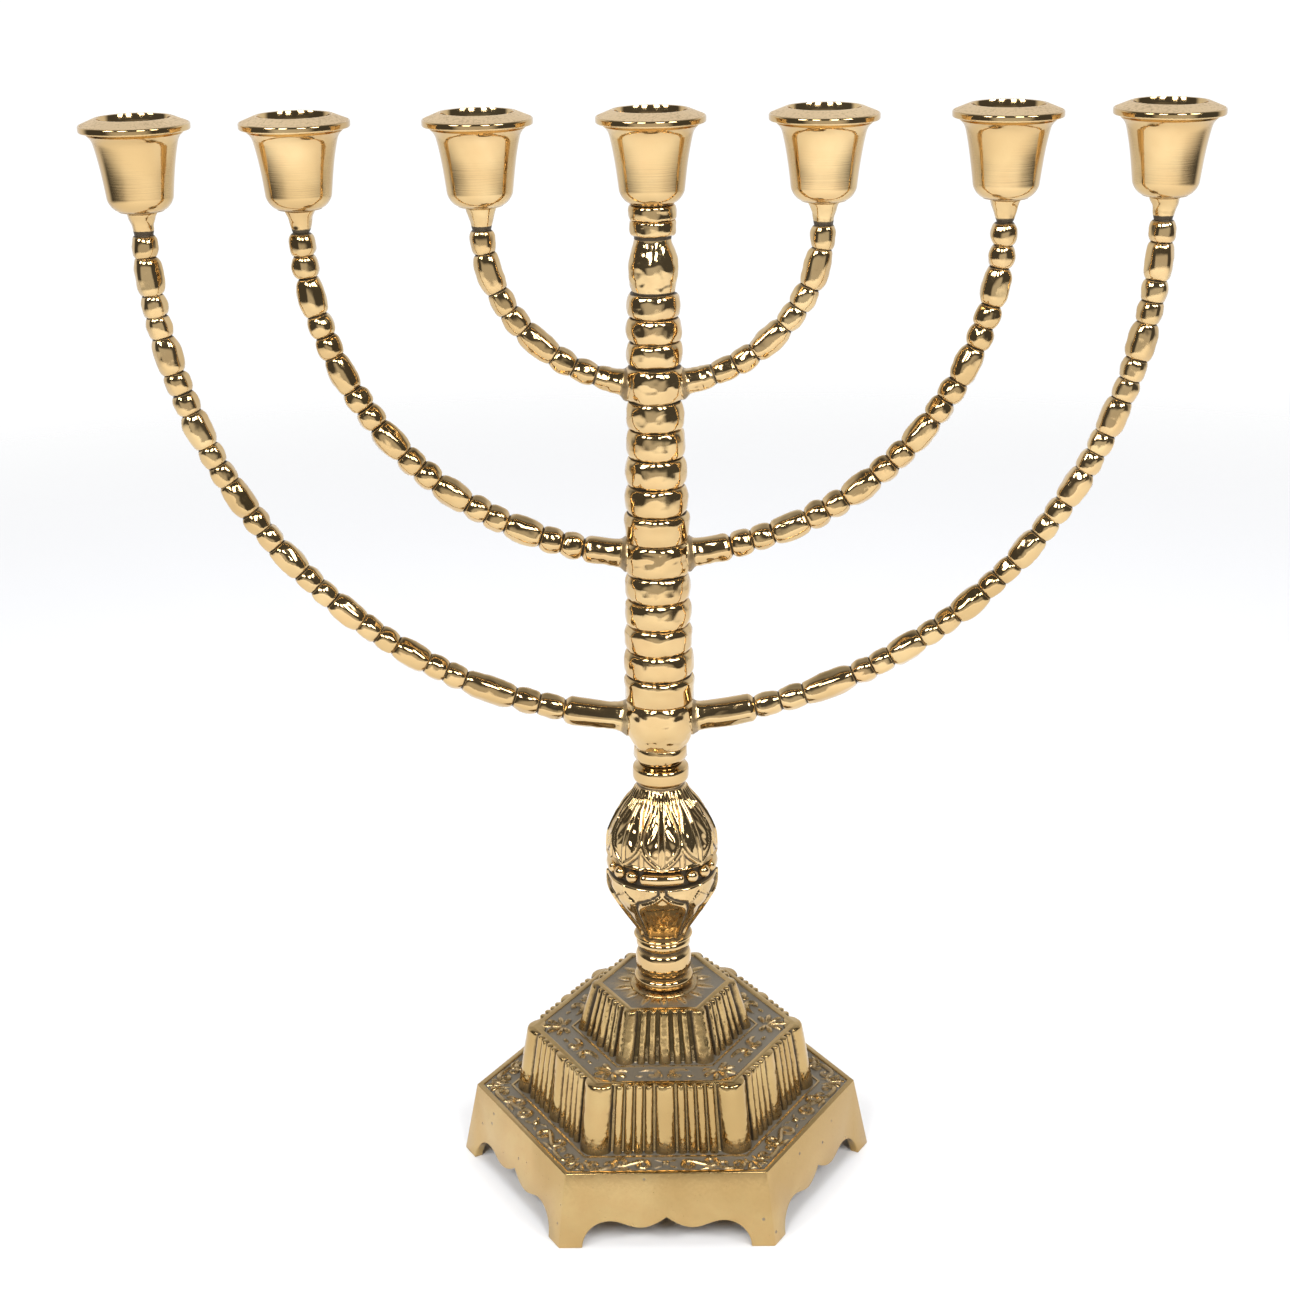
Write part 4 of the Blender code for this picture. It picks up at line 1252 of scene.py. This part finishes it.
def arm_outline(branch, length):
    """Outline of a straight arm: root, plain stub, beads, and the flared collar with its hole."""
    arm = ARMS[branch]
    hub_r, stub_r, root_r, notch = (arm[key] for key in ("hub_r", "stub_r", "root_r", "notch"))
    stub_end = hub_r + arm["stub"]
    outline = [(0.0, 6.0), (root_r, 6.0), (root_r, hub_r - 0.9)]
    outline += smooth_outline([(root_r - 0.3, hub_r - 0.3), (stub_r + 0.35, hub_r + 0.9),
                               (stub_r, hub_r + 2.4), (stub_r - 0.1, hub_r + 5.0),
                               (stub_r - 0.05, stub_end - 3.6), (stub_r - 0.4, stub_end - 1.3),
                               (notch + 0.1, stub_end)], steps=6)
    place = stub_end
    lengths = bead_lengths(branch, length - stub_end)
    split = 0.5 * (min(lengths) + max(lengths))
    for index, size in enumerate(lengths):
        crest = arm["long_r"] if size > split or (branch == "outer" and size > 10.0) else arm["short_r"]
        power = 2.5 if size > 10.0 else 2.0
        outline += bead(place, place + size, crest, notch, steps=16 if size > 10.0 else 12, power=power)[1:]
        place += size
    outline += smooth_outline([(notch, length + 0.1), (3.0, length + 1.3), (3.45, length + 3.6),
                               (4.4, length + COLLAR_LENGTH - 0.7), (4.5, length + COLLAR_LENGTH - 0.35)],
                              steps=6)
    end = length + COLLAR_LENGTH
    return outline + [(4.3, end), (1.8, end), (1.8, end - 6.3), (0.0, end - 6.3)]


def bend_path(span, rise, steps=240):
    """Angles and arc lengths of a quarter ellipse, as two matching lists."""
    angles, lengths = [0.0], [0.0]
    for step in range(steps):
        start, end = (0.5 * math.pi * share / steps for share in (step, step + 1))
        run = span * (math.sin(end) - math.sin(start))
        climb = rise * (math.cos(start) - math.cos(end))
        angles.append(end)
        lengths.append(lengths[-1] + math.hypot(run, climb))
    return angles, lengths


def look_up(value, places, values):
    """The value at a place, by straight lines between rising places."""
    if value >= places[-1]:
        return values[-1]
    share = value / places[-1] * (len(places) - 1)
    index = min(int(share), len(places) - 2)
    while index > 0 and places[index] > value:
        index -= 1
    while index < len(places) - 2 and places[index + 1] < value:
        index += 1
    part = (value - places[index]) / (places[index + 1] - places[index])
    return values[index] + (values[index + 1] - values[index]) * part


def make_arm(branch, side, span, low):
    """One arm, turned straight and bent along its quarter ellipse up to the cup."""
    arm = ARMS[branch]
    rise = STEM_TOP_Z - COLLAR_LENGTH - low
    angles, lengths = bend_path(span, rise)
    bend = lengths[-1]
    bm = turned(arm_outline(branch, bend), 28)
    crest = arm["short_r"]
    layer = bm.verts.layers.float.new("patina")
    for vert in bm.verts:
        radius = math.hypot(vert.co.x, vert.co.y)
        along = vert.co.z
        stained = 0.95 * (1.0 - ease(0.10, 0.66, (radius - arm["notch"]) / (crest - arm["notch"])))
        if along < arm["hub_r"] + 3.0:
            stained = 0.6 * (1.0 - ease(0.4, 2.0, along - arm["hub_r"]))
        if along > bend + 1.4:
            stained = 0.0
        vert[layer] = stained
    flat = 0.035
    for vert in bm.verts:
        turn = math.atan2(vert.co.y, vert.co.x)
        squeeze = 1.0 - flat * math.cos(6.0 * turn + 0.04 * vert.co.z)
        vert.co.x *= squeeze
        vert.co.y *= squeeze
    for vert in bm.verts:
        inward, depth, along = vert.co
        angle = look_up(along, lengths, angles)
        slope = math.hypot(span * math.cos(angle), rise * math.sin(angle))
        reach = span * math.sin(angle) - inward * rise * math.sin(angle) / slope
        height = low + rise * (1.0 - math.cos(angle)) + inward * span * math.cos(angle) / slope
        height += max(along - bend, 0.0)
        vert.co = (side * reach, depth, height)
    bmesh.ops.recalc_face_normals(bm, faces=bm.faces)
    return bm


def groove_stain(bm, reach):
    """Darken points that lie in a groove: below the mean height of the wall round them."""
    layer = bm.verts.layers.float.get("patina") or bm.verts.layers.float.new("patina")
    heights = {}
    for vert in bm.verts:
        key = round(vert.co.z, 1)
        heights[key] = max(heights.get(key, 0.0), math.hypot(vert.co.x, vert.co.y))
    levels = sorted(heights.items())
    for vert in bm.verts:
        radius = math.hypot(vert.co.x, vert.co.y)
        near = [top for height, top in levels if abs(height - vert.co.z) < reach]
        crest = max(near) if near else radius
        vert[layer] = max(vert[layer], ease(0.45, 1.15, crest - radius))


def make_branch(branch, outline, low):
    """One U-shaped casting: its ringed stem with an arm on each side."""
    sizes = bpy.context.scene.menorah_branches
    node = f"{branch}_branch"
    outline_top = max(height for _, height in outline)
    span = {"outer": cup_x(7), "middle": cup_x(6), "inner": cup_x(5)}[branch]
    stem = turned(outline, 80)
    groove_stain(stem, 1.35)
    arms = [make_arm(branch, side, span, low) for side in (-1.0, 1.0)]
    bm = combined(stem, arms, "UNION")
    for part in [stem] + arms:
        part.free()
    bmesh.ops.recalc_face_normals(bm, faces=bm.faces)
    seats = (low_mm(node).z, STEM_TOP_Z, outline_top)
    waver(bm, sizes.unevenness / MM, 5.0, seats)
    waver(bm, 0.6 * sizes.unevenness / MM, 2.1, seats)
    add_piece(f"{node}_casting", bm, node, node, ["hand_polished_brass"], sharp=55.0)


# ---------------------------------------------------------------- cups

def cup_outline(band):
    """Cup outline from the socket floor over the lip and down to the stud hole."""
    height = CUP_TOP_Z - CUP_Z - 1.9
    rim_low = height - band
    floor_z, lip = 6.0, height + 1.9
    socket = [(0.0, floor_z), (8.2, floor_z), (8.7, floor_z + 0.15), (8.85, floor_z + 0.7)]
    socket += [(8.85 + 1.95 * step / 8, floor_z + 0.7 + (lip - floor_z - 1.3) * step / 8)
               for step in range(1, 8)]
    mouth = [(10.85, lip - 0.45), (11.0, lip - 0.12), (11.3, lip), (11.7, lip - 0.05)]
    dish = [(CUP_RIM_R - 0.5 + (11.7 - CUP_RIM_R + 0.5) * (1.0 - step / 6),
             height + 0.1 + (lip - 0.05 - height - 0.1) * (1.0 - step / 6)) for step in range(1, 7)]
    edge = bead(height + 0.02, rim_low, CUP_RIM_R, CUP_RIM_R - 0.4, steps=10, power=5.0)
    under = [(CUP_RIM_R - 0.9, rim_low - 0.05), (CUP_RIM_R - 2.6, rim_low - 0.35)]
    side = []
    top = rim_low - 0.9
    for step in range(25):
        place = top + (5.0 - top) * step / 24
        climb = place - 5.0
        flare = 1.1 * ease(0.0, 1.0, (climb - 15.0) / 3.0) * (climb / 18.0) ** 12
        side.append((10.0 + 0.12 * climb + 1.24 * (climb / 18.75) ** 3 + flare, place))
    bottom = smooth_outline([(10.0, 5.0), (9.75, 3.5), (9.0, 2.0), (7.9, 0.8), (6.9, 0.25)], steps=6)
    seat = [(6.75, 0.0), (1.8, 0.0), (1.8, 5.0), (0.0, 5.0)]
    return socket + mouth + dish + edge + under + side + bottom[1:] + seat


def on_dish(point):
    """Whether a point of a cup, in its own place, lies on the dished top of the rim."""
    return point.z > 25.75 and 11.25 < math.hypot(point.x, point.y) < 16.2


def make_cups():
    """Seven candle cups, each with its own slight waviness."""
    sizes = bpy.context.scene.menorah_cups
    for number in range(1, CUPS + 1):
        node = f"cup_{number}"
        bm = turned(cup_outline(sizes.rim_edge / MM), 96)

        def patina(point):
            """Darker in the socket, most at its bottom, and under the foot; a little patina on the dished
            rim.
            """
            radius = math.hypot(point.x, point.y)
            if point.z > 5.5 and radius < 9.05 + 1.95 * max(point.z - 6.7, 0.0) / 20.0:
                return 0.85 - 0.63 * ease(6.2, 20.0, point.z)
            if on_dish(point):
                return 0.30
            return 0.45 if point.z < 0.6 else 0.0

        stain(bm, patina)
        stain(bm, lambda point: float(on_dish(point)), "matte")
        bmesh.ops.translate(bm, verts=bm.verts, vec=(cup_x(number), 0.0, CUP_Z))
        waver(bm, sizes.unevenness / MM, 7.0)
        add_piece(f"{node}_turned", bm, node, node, ["lathe_turned_brass"], sharp=35.0)


# ---------------------------------------------------------------- stage

def make_floor():
    """A plain pale floor."""
    look = bpy.context.scene.menorah_stage
    bm = bmesh.new()
    bmesh.ops.create_grid(bm, x_segments=1, y_segments=1, size=1.4)
    mesh = bpy.data.meshes.new("floor")
    bm.to_mesh(mesh)
    bm.free()
    floor = bpy.data.objects.new("floor", mesh)
    bpy.context.scene.collection.objects.link(floor)
    material, shader = new_material("pale_floor")
    place = add_node(material, "ShaderNodeTexCoord").outputs["Object"]
    soft = add_node(material, "ShaderNodeTexNoise",
                    {"Vector": place, "Scale": 3.0, "Detail": 2.0}).outputs["Fac"]
    paler = tuple(min(1.02 * part, 1.0) for part in look.floor)
    colour = mix_colour(material, soft, look.floor, paler)
    material.node_tree.links.new(colour, shader.inputs["Base Color"])
    shader.inputs["Roughness"].default_value = 0.9
    shader.inputs["Specular IOR Level"].default_value = 0.0
    far = add_node(material, "ShaderNodeVectorMath", {0: place}, operation="LENGTH").outputs["Value"]
    fade = add_node(material, "ShaderNodeMapRange", {0: far, 1: 0.65, 2: 1.35, 3: 0.0, 4: 1.0},
                    interpolation_type="SMOOTHSTEP").outputs[0]
    clear = add_node(material, "ShaderNodeBsdfTransparent").outputs[0]
    blended = add_node(material, "ShaderNodeMixShader",
                       {0: fade, 1: shader.outputs[0], 2: clear}).outputs[0]
    output = material.node_tree.nodes["Material Output"]
    material.node_tree.links.new(blended, output.inputs["Surface"])
    mesh.materials.append(material)


def world_node(tree, kind, inputs, **settings):
    """Add a world shader node, set its properties, link or set its inputs, and give its output."""
    item = tree.nodes.new(kind)
    for name, value in settings.items():
        setattr(item, name, value)
    for name, value in inputs.items():
        if isinstance(value, bpy.types.NodeSocket):
            tree.links.new(value, item.inputs[name])
        else:
            item.inputs[name].default_value = value
    return item.outputs[0]


def make_world():
    """White to the camera; in reflections pale behind and low in front, dark above and at the sides."""
    world = bpy.data.worlds.new("studio")
    bpy.context.scene.world = world
    world.use_nodes = True
    tree = world.node_tree
    background = tree.nodes["Background"]
    place = world_node(tree, "ShaderNodeTexCoord", {})
    split = tree.nodes.new("ShaderNodeSeparateXYZ")
    tree.links.new(place, split.inputs[0])

    def rise(value, low, high, to_low, to_high):
        """A smooth step of a direction's component."""
        return world_node(tree, "ShaderNodeMapRange", {0: value, 1: low, 2: high, 3: to_low, 4: to_high},
                          interpolation_type="SMOOTHSTEP")

    def joined(operation, first, second):
        """Two strengths joined by a Math node."""
        return world_node(tree, "ShaderNodeMath", {0: first, 1: second}, operation=operation)

    behind = rise(split.outputs["Y"], 0.05, 0.5, 0.0, 0.95)
    roof = rise(split.outputs["Z"], 0.3, 0.85, 1.0, 0.4)
    front = rise(split.outputs["Y"], -0.90, -0.58, 0.70, 0.0)
    low_front = rise(split.outputs["Z"], 0.02, 0.3, 1.0, 0.0)
    strength = joined("MAXIMUM", joined("MULTIPLY", behind, roof), joined("MULTIPLY", front, low_front))
    tree.links.new(joined("MAXIMUM", strength, 0.09), background.inputs["Strength"])
    background.inputs["Color"].default_value = (0.98, 0.985, 1.0, 1.0)
    white = tree.nodes.new("ShaderNodeBackground")
    white.inputs["Color"].default_value = (1.0, 1.0, 1.0, 1.0)
    white.inputs["Strength"].default_value = 1.05
    path = tree.nodes.new("ShaderNodeLightPath")
    mixed = world_node(tree, "ShaderNodeMixShader", {0: path.outputs["Is Camera Ray"],
                                                     1: background.outputs[0], 2: white.outputs[0]})
    tree.links.new(mixed, tree.nodes["World Output"].inputs["Surface"])


def make_lights():
    """Four upright softboxes in front and one broad fill overhead."""
    look = bpy.context.scene.menorah_stage
    target = Vector((0.0, 0.0, 0.2))
    for index, azimuth in enumerate((-52.0, -21.0, 21.0, 52.0)):
        angle, lift = math.radians(azimuth), math.radians(36.5)
        back = Vector((math.sin(angle) * math.cos(lift), -math.cos(angle) * math.cos(lift), math.sin(lift)))
        lamp = bpy.data.lights.new(f"softbox_{index + 1}", "AREA")
        lamp.energy = look.light_power
        lamp.shape = "RECTANGLE"
        lamp.size = look.light_width
        lamp.size_y = 1.5 * look.light_width
        item = bpy.data.objects.new(lamp.name, lamp)
        bpy.context.scene.collection.objects.link(item)
        item.location = target + 1.7 * back
        item.rotation_euler = (-back).to_track_quat("-Z", "Y").to_euler()
    lamp = bpy.data.lights.new("fill", "AREA")
    lamp.energy = 2.08 * look.light_power
    lamp.size = 1.6
    item = bpy.data.objects.new("fill", lamp)
    bpy.context.scene.collection.objects.link(item)
    item.location = (0.0, 0.5, 2.0)
    item.visible_glossy = False


def make_camera():
    """The camera at the viewing angle of the front view."""
    pitch, yaw, roll = (math.radians(value) for value in (19.80, -0.65, -1.00))
    ahead = Vector((math.sin(yaw) * math.cos(pitch), math.cos(yaw) * math.cos(pitch), -math.sin(pitch)))
    right = Vector((math.cos(yaw), -math.sin(yaw), 0.0))
    up = right.cross(ahead)
    level = right * math.cos(roll) + up * math.sin(roll)
    upright = -right * math.sin(roll) + up * math.cos(roll)
    data = bpy.data.cameras.new("camera")
    data.lens = 62.93
    data.sensor_width = 36.0
    camera = bpy.data.objects.new("camera", data)
    bpy.context.scene.collection.objects.link(camera)
    turn = Matrix((level, upright, -ahead)).transposed().to_4x4()
    camera.matrix_world = Matrix.Translation((0.0033, -0.6791, 0.4294)) @ turn
    bpy.context.scene.camera = camera


# ---------------------------------------------------------------- operators

class MakeFoot(bpy.types.Operator):
    """Build the foot casting with its reeds and relief"""

    bl_idname = "menorah.foot"
    bl_label = "Foot casting"

    def execute(self, context):
        make_foot()
        return {"FINISHED"}


class MakeFasteners(bpy.types.Operator):
    """Build the tie rod, its nut and washer, and the cups' studs"""

    bl_idname = "menorah.fasteners"
    bl_label = "Fasteners"

    def execute(self, context):
        make_tie_rod()
        make_nut()
        make_washer()
        make_studs()
        return {"FINISHED"}


class MakeBaluster(bpy.types.Operator):
    """Build the chased baluster"""

    bl_idname = "menorah.baluster"
    bl_label = "Baluster"

    def execute(self, context):
        make_baluster()
        return {"FINISHED"}


class MakeBranches(bpy.types.Operator):
    """Build the three branch castings"""

    bl_idname = "menorah.branches"
    bl_label = "Branches"

    def execute(self, context):
        depth = context.scene.menorah_branches.groove_depth / MM
        make_branch("outer", outer_stem(), OUTER_Z + 14.77)
        make_branch("middle", middle_stem(depth), MIDDLE_HUB_Z + 5.9)
        make_branch("inner", inner_stem(depth), INNER_HUB_Z + 4.9)
        return {"FINISHED"}


class MakeCups(bpy.types.Operator):
    """Build the seven candle cups"""

    bl_idname = "menorah.cups"
    bl_label = "Candle cups"

    def execute(self, context):
        make_cups()
        return {"FINISHED"}


class MakeStage(bpy.types.Operator):
    """Set up the floor, the light and the camera"""

    bl_idname = "menorah.stage"
    bl_label = "Stage"

    def execute(self, context):
        make_floor()
        make_world()
        make_lights()
        make_camera()
        context.scene.view_settings.view_transform = "Standard"
        return {"FINISHED"}


OPERATORS = (MakeStage, MakeFoot, MakeFasteners, MakeBaluster, MakeBranches, MakeCups)


class MenorahPanel(bpy.types.Panel):
    """Sizes, colours and build steps of the menorah"""

    bl_idname = "VIEW3D_PT_menorah"
    bl_label = "Menorah"
    bl_space_type = "VIEW_3D"
    bl_region_type = "UI"
    bl_category = "Menorah"

    def draw(self, context):
        """List every size and colour, then the build steps."""
        for name, group in GROUPS.items():
            box = self.layout.box()
            box.label(text=group.__doc__)
            for key in group.__annotations__:
                box.prop(getattr(context.scene, name), key)
        for operator in OPERATORS:
            self.layout.operator(operator.bl_idname)


CLASSES = (*GROUPS.values(), *OPERATORS, MenorahPanel)


def register():
    """Register the classes and hang the sizes on the scene."""
    for item in CLASSES:
        bpy.utils.register_class(item)
    for name, group in GROUPS.items():
        setattr(bpy.types.Scene, name, bpy.props.PointerProperty(type=group))


def unregister():
    """Take the sizes off the scene and unregister the classes."""
    for name in GROUPS:
        delattr(bpy.types.Scene, name)
    for item in reversed(CLASSES):
        bpy.utils.unregister_class(item)


def main():
    """Build every piece."""
    register()
    bpy.ops.menorah.stage()
    bpy.ops.menorah.foot()
    bpy.ops.menorah.fasteners()
    bpy.ops.menorah.baluster()
    bpy.ops.menorah.branches()
    bpy.ops.menorah.cups()


if __name__ == "__main__":
    main()
